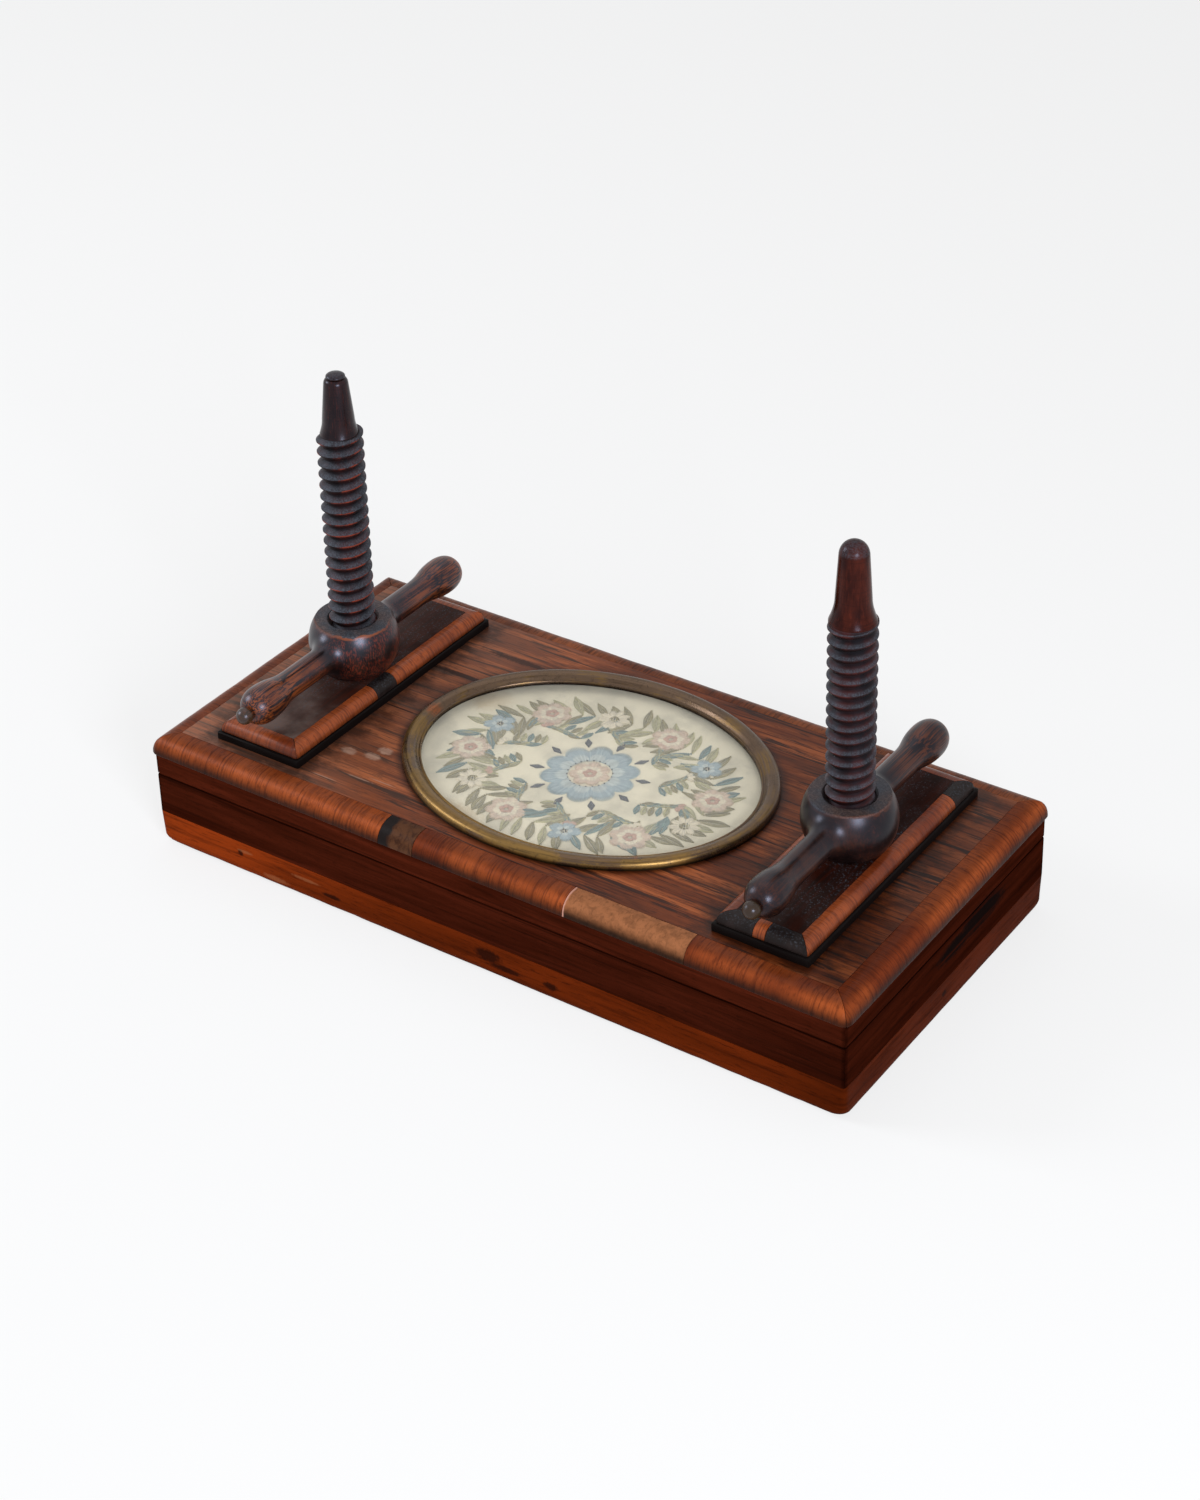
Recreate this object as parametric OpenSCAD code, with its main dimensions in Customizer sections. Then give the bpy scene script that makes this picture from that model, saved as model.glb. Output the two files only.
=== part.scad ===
// Twin-screw playing card press: a two-well box with a flush lid that two turned wing nuts press down.
// Millimetres, +Z up, origin at the middle of the underside, long side along X, front towards -Y.

/* [Box] */
// Length of the box and of the lid
body_l = 270; // [250:1:320]
// Width of the box and of the lid, front to back
body_w = 128; // [118:1:150]
// Thickness of the mahogany bottom board
bottom_h = 13; // [10:0.5:20]
// Height of the rosewood rails on the bottom board
rail_h = 15; // [10:0.5:30]
// Thickness of the rails
rail_t = 14; // [10:0.5:16]
// Rounding of the bottom board's lower edges
bottom_edge_r = 3.4; // [1:0.1:6]
// Rounding of the arrises on both sides of the seam
seam_arris_r = 1.1; // [0.4:0.1:2]

/* [Card wells] */
// Length of each card well along X
well_l = 72; // [60:0.5:78]
// Thickness of the divider between the wells
divider_t = 6; // [3:0.5:10]
// How far the divider stays below the top of the rails
divider_drop = 2; // [1.6:0.1:5]
// Thickness of the baize in the wells and under the lid
baize_t = 1; // [0.6:0.1:1.4]
// Gap left around each piece of baize
baize_gap = 0.3; // [0.1:0.1:1]

/* [Screw posts] */
// Distance between the axes of the two posts
post_spacing = 196.5; // [186:0.5:206]
// Outer diameter of the screw thread
thread_d = 15.8; // [13:0.1:18]
// Distance from one thread crest to the next
thread_pitch = 4.25; // [3.5:0.05:5]
// Depth of the thread groove
thread_depth = 1.7; // [1:0.1:2]
// Width of the flat on the thread crest
thread_crest = 0.6; // [0.3:0.1:1]
// Width of the flat in the thread groove
thread_root = 0.5; // [0.3:0.1:1]
// Height above the rails at which the thread starts
thread_start_h = 8.5; // [4:0.5:18]
// Plain stretch at the foot of the thread before its groove
thread_lead_in = 0.63; // [0.2:0.01:2]
// Part of a turn over which the groove runs out at both ends of the thread
thread_run_out = 0.25; // [0.1:0.05:0.5]
// Length of the left post's threaded stretch
left_thread_l = 103.6; // [85:0.1:120]
// Length of the right post's threaded stretch
right_thread_l = 95.1; // [85:0.1:120]
// Step from the plain shank down to the thread
shank_step = 0.3; // [0.1:0.1:0.8]
// Diameter of the tenon under the post
tenon_d = 12; // [8:0.5:13]
// Depth of the tenon in the bottom board
tenon_l = 9; // [5:0.5:9]
// Gap around the glued shank and tenon
glue_gap = 0.1; // [0.05:0.05:0.2]

/* [Post tips] */
// Length of the left post's smooth tip above the thread
left_tip_l = 22.1; // [18:0.1:34]
// Length of the right post's smooth tip above the thread
right_tip_l = 27.6; // [22:0.2:34]
// Step from the thread crest in to the foot of the left tip
left_tip_step = 1.4; // [0.3:0.1:2]
// Step from the thread crest in to the foot of the right tip
right_tip_step = 0.3; // [0.3:0.1:1.5]
// Height of the concave flare at the foot of the left tip
left_flare_h = 5.5; // [4:0.5:13]
// Height of the concave flare at the foot of the right tip
right_flare_h = 8; // [6:0.5:13]
// Diameter of the left tip above the flare
left_waist_d = 10.8; // [9.4:0.1:12]
// Diameter of the right tip above the flare
right_waist_d = 11.4; // [10:0.1:13]
// Diameter at the top of the left tip's taper
left_tip_d = 8.2; // [6:0.1:9]
// Height of the rounded shoulder at the top of the left tip's taper
shoulder_h = 1.6; // [0.8:0.1:3]
// Diameter of the groove under the left tip's button
button_neck_d = 5.4; // [3:0.1:6]
// Diameter of the left tip's domed button
button_d = 6.5; // [4:0.1:9]
// Height of the left tip's domed button
button_h = 1.9; // [1.2:0.1:4]
// Height of the slope from the groove out to the button's rim
button_edge_h = 0.6; // [0.3:0.1:1]
// Diameter at the foot of the right tip's dome
right_tip_d = 9.6; // [7:0.1:10]
// Height of the right tip's dome
dome_h = 5.2; // [3:0.1:7]

/* [Lid] */
// Thickness of the lid
lid_h = 15; // [12:0.5:22]
// Gap between a post's shank and its hole in the lid
hole_clear = 0.6; // [0.4:0.1:1.5]
// How far the edge band stands out from the lid's sides
band_proud = 1.2; // [0:0.1:2]
// Width of the cross-grain edge band on the top of the lid
band_w = 7; // [5:0.1:8]
// Height of the edge band on the side of the lid
band_h = 6.5; // [5:0.1:7]
// Radius of the edge band's quarter round
band_r = 6; // [3:0.1:6.5]
// Left end of the dark patch in the front band
dark_patch_x = -38.7; // [-60:0.1:-30]
// Length of the dark patch in the front band
dark_patch_l = 13.7; // [8:0.1:20]
// Left end of the pale patch in the front band
pale_patch_x = 33.6; // [10:0.1:45]
// Length of the pale patch in the front band
pale_patch_l = 45; // [30:0.5:60]

/* [Pads] */
// Length of each pad, front to back
pad_l = 105; // [90:0.5:114]
// Width of each pad
pad_w = 33; // [28:0.5:36]
// Height of the pad's dark plinth
plinth_h = 2.8; // [1.5:0.1:5]
// Ledge of the plinth outside the edging
plinth_ledge = 0.8; // [0.2:0.1:2]
// Width of the pad's cross-grain edging
pad_edge_w = 5; // [3:0.1:5.8]
// Height of the pad's edging
pad_edge_h = 4; // [3:0.1:6]
// Radius of the edging's quarter round
pad_edge_r = 3.6; // [1.5:0.1:4]
// Front end of the dark square in the left pad's inner edging
dark_square_y = -9; // [-30:0.5:20]
// Length of the dark square
dark_square_l = 10.5; // [6:0.5:16]
// Left end of the light piece in the right pad's front edging, from the post's axis
light_piece_x = -3; // [-7:0.1:2]
// Length of the light piece
light_piece_l = 4.3; // [2:0.1:8]
// Length of the dark piece at the back of the right pad's outer edging
dark_end_l = 13.2; // [8:0.1:25]

/* [Wing nuts] */
// Height of a nut between its flats
nut_h = 19; // [14:0.5:26]
// Height of the ball's middle and of the handles' axis above the nut's lower flat
nut_axis_h = 10.5; // [8:0.1:13]
// Width of the flat rim around the bore
nut_rim_w = 4.6; // [2.5:0.1:6]
// Radial gap between the nut's thread and the post's thread
thread_clear = 0.5; // [0.4:0.05:0.8]
// Diameter of the handle's slim neck
neck_d = 9.6; // [7:0.1:11]
// Diameter of the handle where it flares into the ball
neck_root_d = 14; // [11:0.1:16]
// How deep the handle's flare starts inside the ball
neck_root_l = 3; // [2:0.1:5]
// Length of the concave flare outside the ball
neck_flare_l = 5.5; // [3:0.1:8]
// Diameter of the handle's bulb
bulb_d = 13.2; // [12:0.1:15]
// Distance from the nut's axis to where the bulb is widest
bulb_reach = 49; // [42:0.2:56]
// Length over which the neck swells to the bulb
swell_l = 15; // [8:0.5:18]
// Length of the bulb's blunt round end
bulb_end_l = 6.6; // [4:0.1:9]
// Diameter of the finial bead
finial_d = 5.8; // [4:0.1:7]
// Diameter of the groove behind the finial bead
finial_neck_d = 4.4; // [2.5:0.1:4.8]
// Diameter of the low cap on the back handle's bulb
cap_d = 7.8; // [5:0.1:10]
// Height of the low cap on the back handle's bulb
cap_h = 2; // [1:0.1:4]

/* [Oval panel] */
// Length of the oval bezel
oval_l = 133; // [110:0.5:140]
// Width of the oval bezel
oval_w = 106; // [90:0.5:108]
// Distance of the oval's middle from the lid's middle, towards the back
oval_y = -1; // [-3:0.1:3]
// Width of the brass bezel
bezel_w = 6.5; // [4:0.1:9]
// Height of the bezel's crown above the lid
bezel_h = 3; // [2:0.1:5]
// Height of the bezel's outer edge below its rounding
bezel_edge_h = 0.75; // [0.3:0.05:1.5]
// Width of the rounding along the bezel's outer edge
bezel_round_w = 2.1; // [1:0.1:3]
// Width from the outer edge to where the inner slope steepens
bezel_crown_w = 4; // [3:0.1:5]
// Height of the bezel where the inner slope steepens
bezel_crown_h = 2.6; // [1.5:0.1:4]
// Height of the bezel's inner lip above the glass
bezel_lip_h = 1; // [0.5:0.1:1.6]
// Width and height of the worn edge of the inner lip
bezel_lip_soft = 0.3; // [0.1:0.1:0.5]
// How far the bezel laps over the lid outside the recess
bezel_lap = 1.5; // [0.5:0.1:2.5]
// Gap around the glass, the silk and the backing in the recess
oval_gap = 0.3; // [0.1:0.1:0.6]
// Thickness of the glass
glass_t = 1.6; // [1:0.1:2.5]
// Room for raised stitches under the glass
stitch_room = 0.9; // [0.5:0.1:0.95]
// Thickness of the silk
silk_t = 0.4; // [0.3:0.1:0.8]
// Thickness of the millboard behind the silk
backing_t = 1.5; // [1:0.1:3]

/* [Hidden] */
$fn = 64;

// Wood and metal colours
mahogany = [0.47, 0.22, 0.10];
rosewood = [0.24, 0.10, 0.06];
cross_grain = [0.58, 0.28, 0.14];
ebonised = [0.13, 0.09, 0.08];
pale_wood = [0.62, 0.42, 0.25];
turned_wood = [0.15, 0.09, 0.08];
deal = [0.68, 0.52, 0.33];
baize_green = [0.16, 0.33, 0.20];
brass = [0.50, 0.38, 0.20];
glass_tint = [0.85, 0.92, 0.90, 0.35];
silk_cream = [0.85, 0.80, 0.66];
millboard = [0.55, 0.48, 0.38];

// Sides of a frame, counted the way it is turned from the front
front = 0;
right = 1;
back = 2;
left = 3;

// Heights and places that follow from the sizes above
cut = 1;
base_top = bottom_h + rail_h;
lid_top = base_top + lid_h;
band_z = lid_top - band_h;
plinth_top = lid_top + plinth_h;
pad_top = plinth_top + pad_edge_h;
post_x = post_spacing / 2;
well_w = body_w - 2 * rail_t;
well_x = divider_t / 2 + well_l / 2;
block_x = divider_t / 2 + well_l;
block_l = body_l / 2 - rail_t - block_x;
shank_d = thread_d + 2 * shank_step;
hole_d = shank_d + 2 * hole_clear;
thread_z = base_top + thread_start_h;
crest_z = thread_z + thread_lead_in;
recess_h = glass_t + stitch_room + silk_t + backing_t;

// Thread profile within one pitch: crest, flank, root, flank
ring_steps = 24;
profile_points = 4;
thread_flank = (thread_pitch - thread_crest - thread_root) / 2;
profile_z = [0, thread_crest, thread_crest + thread_flank, thread_crest + thread_flank + thread_root];
profile_deep = [0, 0, 1, 1];

// Nut sizes that follow from the thread
nut_bore_r = thread_d / 2 + thread_clear;
nut_flat_r = nut_bore_r + nut_rim_w;
nut_ball_r = sqrt(pow(nut_flat_r, 2) + pow(nut_h - nut_axis_h, 2));

// Steps along the curved profiles
curve_steps = 8;
bezel_steps = 72;
bezel_round_steps = 4;

// A frame side's run along X at the front, its profile drawn inwards and upwards, cut to the mitres
module mitred_run(run, half, depth, high, from, to) {
    intersection() {
        translate([from, -half, 0])
            rotate([90, 0, 90])
                linear_extrude(to - from)
                    children();
        linear_extrude(high)
            polygon([[-run / 2, -half], [run / 2, -half],
                     [run / 2 - depth, depth - half], [depth - run / 2, depth - half]]);
    }
}

// One side of a mitred frame of outer size fx by fy, whole or between two places along it
module frame_side(side, fx, fy, depth, high, from = undef, to = undef) {
    run = side % 2 == 0 ? fx : fy;
    half = side % 2 == 0 ? fy / 2 : fx / 2;
    start = is_undef(from) ? -run / 2 : from;
    end = is_undef(to) ? run / 2 : to;
    rotate([0, 0, 90 * side])
        mitred_run(run, half, depth, high, start, end)
            children();
}

// Section of a rail with its upper outer arris rounded
module rail_section() {
    round_corner(rail_t, rail_h, seam_arris_r);
}

// Rectangle whose upper left corner is a quarter round
module round_corner(wide, high, radius) {
    translate([radius, high - radius])
        circle(radius);
    translate([radius, 0])
        square([wide - radius, high]);
    square([wide, high - radius]);
}

// Rectangle centred on the height axis whose two lower corners are quarter rounds
module round_foot(wide, high, radius) {
    for (s = [-1, 1])
        translate([s * (wide / 2 - radius), radius])
            circle(radius);
    translate([-wide / 2 + radius, 0])
        square([wide - 2 * radius, high]);
    translate([-wide / 2, radius])
        square([wide, high - radius]);
}

// Slab with rounded lower edges on its four sides
module soft_slab(high, radius) {
    intersection() {
        translate([-body_l / 2, 0, 0])
            rotate([90, 0, 90])
                linear_extrude(body_l)
                    round_foot(body_w, high, radius);
        translate([0, body_w / 2, 0])
            rotate([90, 0, 0])
                linear_extrude(body_w)
                    round_foot(body_l, high, radius);
    }
}

// Box centred in X and Y that stands on z = 0
module block(dx, dy, dz) {
    translate([-dx / 2, -dy / 2, 0])
        cube([dx, dy, dz]);
}

// Oval plate inside the bezel's outline by an inset
module oval_plate(inset, high) {
    long = oval_l - 2 * inset;
    wide = oval_w - 2 * inset;
    translate([0, oval_y, 0])
        scale([long / wide, 1, 1])
            cylinder(d = wide, h = high, $fn = 96);
}

// Screw thread

// Point of the thread surface: step along the helix, place in the profile
function thread_point(j, m, z0, r, fade) =
    let (turn = 360 * j / ring_steps, radius = r - profile_deep[m] * thread_depth * fade[j])
        [radius * cos(turn), radius * sin(turn), z0 + thread_pitch * j / ring_steps + profile_z[m]];

// Groove depth along the helix: none at both ends, full where the run-out is past
function thread_fade(steps) =
    let (run_out = thread_run_out * ring_steps)
        [for (j = [0 : steps]) min(1, j / run_out, max(0, (steps - ring_steps - j) / run_out))];

// Two triangles in place of a four-sided face
function quad(a, b, c, d) = [[a, b, c], [a, c, d]];

function flat_list(lists) = [for (l = lists) for (item = l) item];

// Closed solid from low to high with a right-hand thread of whole turns; low and high include plain ends.
// The crest passes the X axis at crest_z plus whole pitches, so a nut cut with it meshes with its post.
module threaded_rod(low, high, r) {
    first = ceil((low - crest_z) / thread_pitch);
    z0 = crest_z + first * thread_pitch;
    turns = floor((high - z0 - thread_crest - thread_lead_in / 2) / thread_pitch);
    steps = turns * ring_steps;
    fade = thread_fade(steps);
    helix = [for (j = [0 : steps], m = [0 : profile_points - 1]) thread_point(j, m, z0, r, fade)];
    ring = [for (i = [0 : ring_steps - 1]) [r * cos(360 * i / ring_steps), r * sin(360 * i / ring_steps)]];
    foot = len(helix);
    head = foot + ring_steps;
    points = concat(helix, [for (p = ring) [p.x, p.y, low]], [for (p = ring) [p.x, p.y, high]]);
    last = steps - ring_steps;
    side = flat_list([
        for (j = [0 : steps - 1]) quad(at(j, 0), at(j, 1), at(j + 1, 1), at(j + 1, 0)),
        for (j = [0 : last - 1], m = [1, 2]) quad(at(j, m), at(j, m + 1), at(j + 1, m + 1), at(j + 1, m)),
        for (j = [0 : last - 1])
            quad(at(j, 3), at(j + ring_steps, 0), at(j + 1 + ring_steps, 0), at(j + 1, 3)),
        for (i = [0 : ring_steps - 2]) quad(foot + i, at(i, 0), at(i + 1, 0), foot + i + 1),
        for (i = [1 : ring_steps - 1])
            quad(at(last + i, 1), head + i, head + (i + 1) % ring_steps, at(last + i + 1, 1))
    ]);
    foot_seam = [foot + ring_steps - 1, at(ring_steps - 1, 0), at(ring_steps, 0),
                 at(0, 3), at(0, 2), at(0, 1), at(0, 0), foot];
    head_seam = [at(last + 1, 1), at(last, 1), at(last, 2), at(last, 3),
                 at(steps, 0), at(steps, 1), head, head + 1];
    caps = [[for (i = [0 : ring_steps - 1]) foot + i], [for (i = [ring_steps - 1 : -1 : 0]) head + i]];
    polyhedron(points, concat(side, [foot_seam, head_seam], caps), convexity = 20);
}

// Place in the list of helix points
function at(j, m) = j * profile_points + m;

// Turned profiles

// Concave sweep from r0 down to r1 over a height
function flare(r0, r1, z0, high) =
    [for (i = [0 : curve_steps])
        let (t = i / curve_steps) [r1 + (r0 - r1) * (1 - sin(90 * t)), z0 + high * t]];

// Smooth swell from r0 to r1 over a height
function swell(r0, r1, z0, high) =
    [for (i = [1 : curve_steps])
        let (t = i / curve_steps) [r0 + (r1 - r0) * (1 - cos(180 * t)) / 2, z0 + high * t]];

// Convex round from r0 in to r1 over a height
function dome(r0, r1, z0, high) =
    [for (i = [1 : curve_steps])
        let (t = 90 * i / curve_steps) [r1 + (r0 - r1) * cos(t), z0 + high * sin(t)]];

// Convex round from r0 in to the axis over a height
function round_end(r0, z0, high) = [
    for (i = [1 : curve_steps - 1])
        let (t = 90 * i / curve_steps) [r0 * cos(t), z0 + high * sin(t)],
    [0, z0 + high]
];

// Solid of revolution about Z of a profile given from its foot to its head
module turned(profile) {
    foot_z = profile[0].y;
    head_z = profile[len(profile) - 1].y;
    rotate_extrude()
        polygon(concat([[0, foot_z]], profile, [[0, head_z]]));
}

// Smooth tip of a post: flare and taper, ending at a height and a diameter
function tip_taper(z0, step, flare_h, waist_d, end_d, end_h) =
    concat(flare(thread_d / 2 - step, waist_d / 2, z0, flare_h), [[end_d / 2, z0 + end_h]]);

module left_tip(z0) {
    button_z = left_tip_l - button_h;
    shoulder_z = button_z - shoulder_h;
    rim_z = z0 + button_z + button_edge_h;
    turned(concat(
        tip_taper(z0, left_tip_step, left_flare_h, left_waist_d, left_tip_d, shoulder_z),
        dome(left_tip_d / 2, button_neck_d / 2, z0 + shoulder_z, shoulder_h),
        [[button_d / 2, rim_z]],
        round_end(button_d / 2, rim_z, button_h - button_edge_h)
    ));
}

module right_tip(z0) {
    dome_z = right_tip_l - dome_h;
    turned(concat(
        tip_taper(z0, right_tip_step, right_flare_h, right_waist_d, right_tip_d, dome_z),
        round_end(right_tip_d / 2, z0 + dome_z, dome_h)
    ));
}

// Post: tenon in the bottom board, plain shank through its block, thread; the tip is a child
module post(x, thread_l) {
    translate([x, 0, 0]) {
        translate([0, 0, bottom_h - tenon_l])
            cylinder(d = tenon_d, h = tenon_l);
        translate([0, 0, bottom_h])
            cylinder(d = shank_d, h = rail_h + thread_start_h);
        threaded_rod(thread_z, thread_z + thread_l, thread_d / 2);
        children();
    }
}

// Handle profile from inside the ball out to where its bulb is widest
function handle_stem() =
    let (root_z = nut_ball_r - neck_root_l, neck_z = nut_ball_r + neck_flare_l)
        concat(
            flare(neck_root_d / 2, neck_d / 2, root_z, neck_z - root_z),
            [[neck_d / 2, bulb_reach - swell_l]],
            swell(neck_d / 2, bulb_d / 2, bulb_reach - swell_l, swell_l));

// Front handle: its bulb ends in a groove and a finial bead
function beaded_handle() =
    let (groove_z = bulb_reach + bulb_end_l,
         bead_z = groove_z + sqrt(pow(finial_d / 2, 2) - pow(finial_neck_d / 2, 2)),
         bead_start = asin(finial_neck_d / finial_d))
        concat(
            handle_stem(),
            dome(bulb_d / 2, finial_neck_d / 2, bulb_reach, bulb_end_l),
            [for (i = [1 : curve_steps - 1])
                let (t = 180 - bead_start - (180 - bead_start) * i / curve_steps)
                    [finial_d / 2 * sin(t), bead_z + finial_d / 2 * cos(t)]],
            [[0, bead_z + finial_d / 2]]);

// Back handle: its bulb ends in a low cap
function capped_handle() =
    concat(
        handle_stem(),
        dome(bulb_d / 2, cap_d / 2, bulb_reach, bulb_end_l),
        round_end(cap_d / 2, bulb_reach + bulb_end_l, cap_h));

// Wing nut: one turning with a ball, two handles and a threaded bore
module wing_nut(x) {
    difference() {
        translate([x, 0, pad_top + nut_axis_h]) {
            rotate_extrude()
                intersection() {
                    circle(nut_ball_r);
                    translate([0, -nut_axis_h])
                        square([nut_ball_r, nut_h]);
                }
            rotate([90, 0, 0])
                turned(beaded_handle());
            rotate([-90, 0, 0])
                turned(capped_handle());
        }
        translate([x, 0, 0])
            threaded_rod(pad_top - 2 * thread_pitch, pad_top + nut_h + 3 * thread_pitch, nut_bore_r);
    }
}

// Base

module bottom_board() {
    color(mahogany)
        difference() {
            soft_slab(bottom_h, bottom_edge_r);
            for (s = [-1, 1])
                translate([s * post_x, 0, bottom_h - tenon_l])
                    cylinder(d = tenon_d + 2 * glue_gap, h = tenon_l + cut);
        }
}

module rail(side) {
    color(rosewood)
        translate([0, 0, bottom_h])
            frame_side(side, body_l, body_w, rail_t, rail_h)
                rail_section();
}

module post_block(s) {
    color(deal)
        difference() {
            translate([s * (block_x + block_l / 2), 0, bottom_h])
                block(block_l, well_w, rail_h);
            translate([s * post_x, 0, bottom_h - cut])
                cylinder(d = shank_d + 2 * glue_gap, h = rail_h + 2 * cut);
        }
}

module centre_divider() {
    color(deal)
        translate([0, 0, bottom_h])
            block(divider_t, well_w, rail_h - divider_drop);
}

module well_baize(s) {
    color(baize_green)
        translate([s * well_x, 0, bottom_h])
            block(well_l - 2 * baize_gap, well_w - 2 * baize_gap, baize_t);
}

module left_post() {
    color(turned_wood)
        post(-post_x, left_thread_l)
            left_tip(thread_z + left_thread_l);
}

module right_post() {
    color(turned_wood)
        post(post_x, right_thread_l)
            right_tip(thread_z + right_thread_l);
}

// Lid

module lid_board() {
    color(rosewood)
        difference() {
            union() {
                translate([0, 0, base_top])
                    soft_slab(lid_h - band_h, seam_arris_r);
                translate([0, 0, band_z])
                    block(body_l - 2 * band_w, body_w - 2 * band_w, band_h);
            }
            for (s = [-1, 1])
                translate([s * post_x, 0, base_top - cut])
                    cylinder(d = hole_d, h = lid_h + 2 * cut);
            translate([0, 0, lid_top - recess_h])
                oval_plate(bezel_lap, recess_h + cut);
        }
}

module edge_band(side, shade, from = undef, to = undef) {
    wide = band_w + band_proud;
    color(shade)
        translate([0, 0, band_z])
            frame_side(side, body_l + 2 * band_proud, body_w + 2 * band_proud, wide, band_h, from, to)
                round_corner(wide, band_h, band_r);
}

module lid_baize(s) {
    color(baize_green)
        translate([s * well_x, 0, base_top - baize_t])
            block(well_l - 4 * baize_gap, well_w - 4 * baize_gap, baize_t);
}

// Pads under the nuts

module pad_board(s) {
    color(rosewood)
        difference() {
            translate([s * post_x, 0, lid_top]) {
                block(pad_w + 2 * plinth_ledge, pad_l + 2 * plinth_ledge, plinth_h);
                block(pad_w - 2 * pad_edge_w, pad_l - 2 * pad_edge_w, plinth_h + pad_edge_h);
            }
            translate([s * post_x, 0, lid_top - cut])
                cylinder(d = hole_d, h = pad_top - lid_top + 2 * cut);
        }
}

module pad_edge(s, side, shade, from = undef, to = undef) {
    color(shade)
        translate([s * post_x, 0, plinth_top])
            frame_side(side, pad_w, pad_l, pad_edge_w, pad_edge_h, from, to)
                round_corner(pad_edge_w, pad_edge_h, pad_edge_r);
}

// Oval panel

// Section of the bezel: distance in from its outer edge, height above the lid
function bezel_section() = [
    [0, 0],
    for (i = [0 : bezel_round_steps])
        let (t = 90 * i / bezel_round_steps)
            [bezel_round_w * (1 - cos(t)), bezel_edge_h + (bezel_h - bezel_edge_h) * sin(t)],
    [bezel_crown_w, bezel_crown_h],
    [bezel_w - bezel_lip_soft, bezel_lip_h],
    [bezel_w, bezel_lip_h - bezel_lip_soft],
    [bezel_w, 0]
];

// Point at a distance inside the oval's outline, square to it
function inside_oval(t, inset) =
    let (a = oval_l / 2, b = oval_w / 2, n = [b * cos(t), a * sin(t)])
        [a * cos(t), b * sin(t)] - inset * n / norm(n);

module oval_bezel() {
    section = bezel_section();
    count = len(section);
    points = [
        for (i = [0 : bezel_steps - 1], p = section)
            let (q = inside_oval(360 * i / bezel_steps, p.x)) [q.x, q.y, p.y]
    ];
    faces = flat_list([
        for (i = [0 : bezel_steps - 1], k = [0 : count - 1])
            let (near = i * count, far = (i + 1) % bezel_steps * count, next = (k + 1) % count)
                quad(near + k, near + next, far + next, far + k)
    ]);
    color(brass)
        translate([0, oval_y, lid_top])
            polyhedron(points, faces, convexity = 4);
}

module oval_glass() {
    color(glass_tint)
        translate([0, 0, lid_top - glass_t])
            oval_plate(bezel_lap + oval_gap, glass_t);
}

module silk_panel() {
    color(silk_cream)
        translate([0, 0, lid_top - recess_h + backing_t])
            oval_plate(bezel_lap + oval_gap, silk_t);
}

module oval_backing() {
    color(millboard)
        translate([0, 0, lid_top - recess_h])
            oval_plate(bezel_lap + oval_gap, backing_t);
}

module left_wing_nut() {
    color(turned_wood)
        wing_nut(-post_x);
}

module right_wing_nut() {
    color(turned_wood)
        wing_nut(post_x);
}

// Ends of the inlaid pieces along their edges
dark_patch_end = dark_patch_x + dark_patch_l;
pale_patch_end = pale_patch_x + pale_patch_l;
dark_square_end = dark_square_y + dark_square_l;
light_piece_end = light_piece_x + light_piece_l;
dark_end_y = pad_l / 2 - dark_end_l;

bottom_board();
rail(front);  // front_rail
rail(back);  // back_rail
rail(left);  // left_end_rail
rail(right);  // right_end_rail
post_block(-1);  // left_post_block
post_block(1);  // right_post_block
centre_divider();
well_baize(-1);  // left_well_baize
well_baize(1);  // right_well_baize
left_post();
right_post();
lid_board();
edge_band(front, cross_grain, to = dark_patch_x);  // front_band_left
edge_band(front, ebonised, dark_patch_x, dark_patch_end);  // front_band_dark_patch
edge_band(front, cross_grain, dark_patch_end, pale_patch_x);  // front_band_middle
edge_band(front, pale_wood, pale_patch_x, pale_patch_end);  // front_band_pale_patch
edge_band(front, cross_grain, from = pale_patch_end);  // front_band_right
edge_band(back, cross_grain);  // back_band
edge_band(left, cross_grain);  // left_end_band
edge_band(right, cross_grain);  // right_end_band
lid_baize(-1);  // left_lid_baize
lid_baize(1);  // right_lid_baize
pad_board(-1);  // left_pad_board
pad_edge(-1, front, cross_grain);  // left_pad_front_edge
pad_edge(-1, back, cross_grain);  // left_pad_back_edge
pad_edge(-1, left, cross_grain);  // left_pad_outer_edge
pad_edge(-1, right, cross_grain, to = dark_square_y);  // left_pad_inner_edge_front
pad_edge(-1, right, ebonised, dark_square_y, dark_square_end);  // left_pad_dark_square
pad_edge(-1, right, cross_grain, from = dark_square_end);  // left_pad_inner_edge_back
pad_board(1);  // right_pad_board
pad_edge(1, front, ebonised, to = light_piece_x);  // right_pad_front_dark_inner
pad_edge(1, front, cross_grain, light_piece_x, light_piece_end);  // right_pad_front_light_piece
pad_edge(1, front, ebonised, from = light_piece_end);  // right_pad_front_dark_outer
pad_edge(1, back, cross_grain);  // right_pad_back_edge
pad_edge(1, right, cross_grain, to = dark_end_y);  // right_pad_outer_edge
pad_edge(1, right, ebonised, from = dark_end_y);  // right_pad_outer_dark_end
pad_edge(1, left, cross_grain);  // right_pad_inner_edge
oval_bezel();
oval_glass();
silk_panel();
oval_backing();
left_wing_nut();
right_wing_nut();
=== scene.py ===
"""Dresses a twin-screw playing card press: woods, turnings, brass, glass, silk and the stage."""
import math
import random

import bmesh
import bpy
from bpy.props import FloatProperty, FloatVectorProperty, PointerProperty
from mathutils import Matrix, Vector, noise


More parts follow.
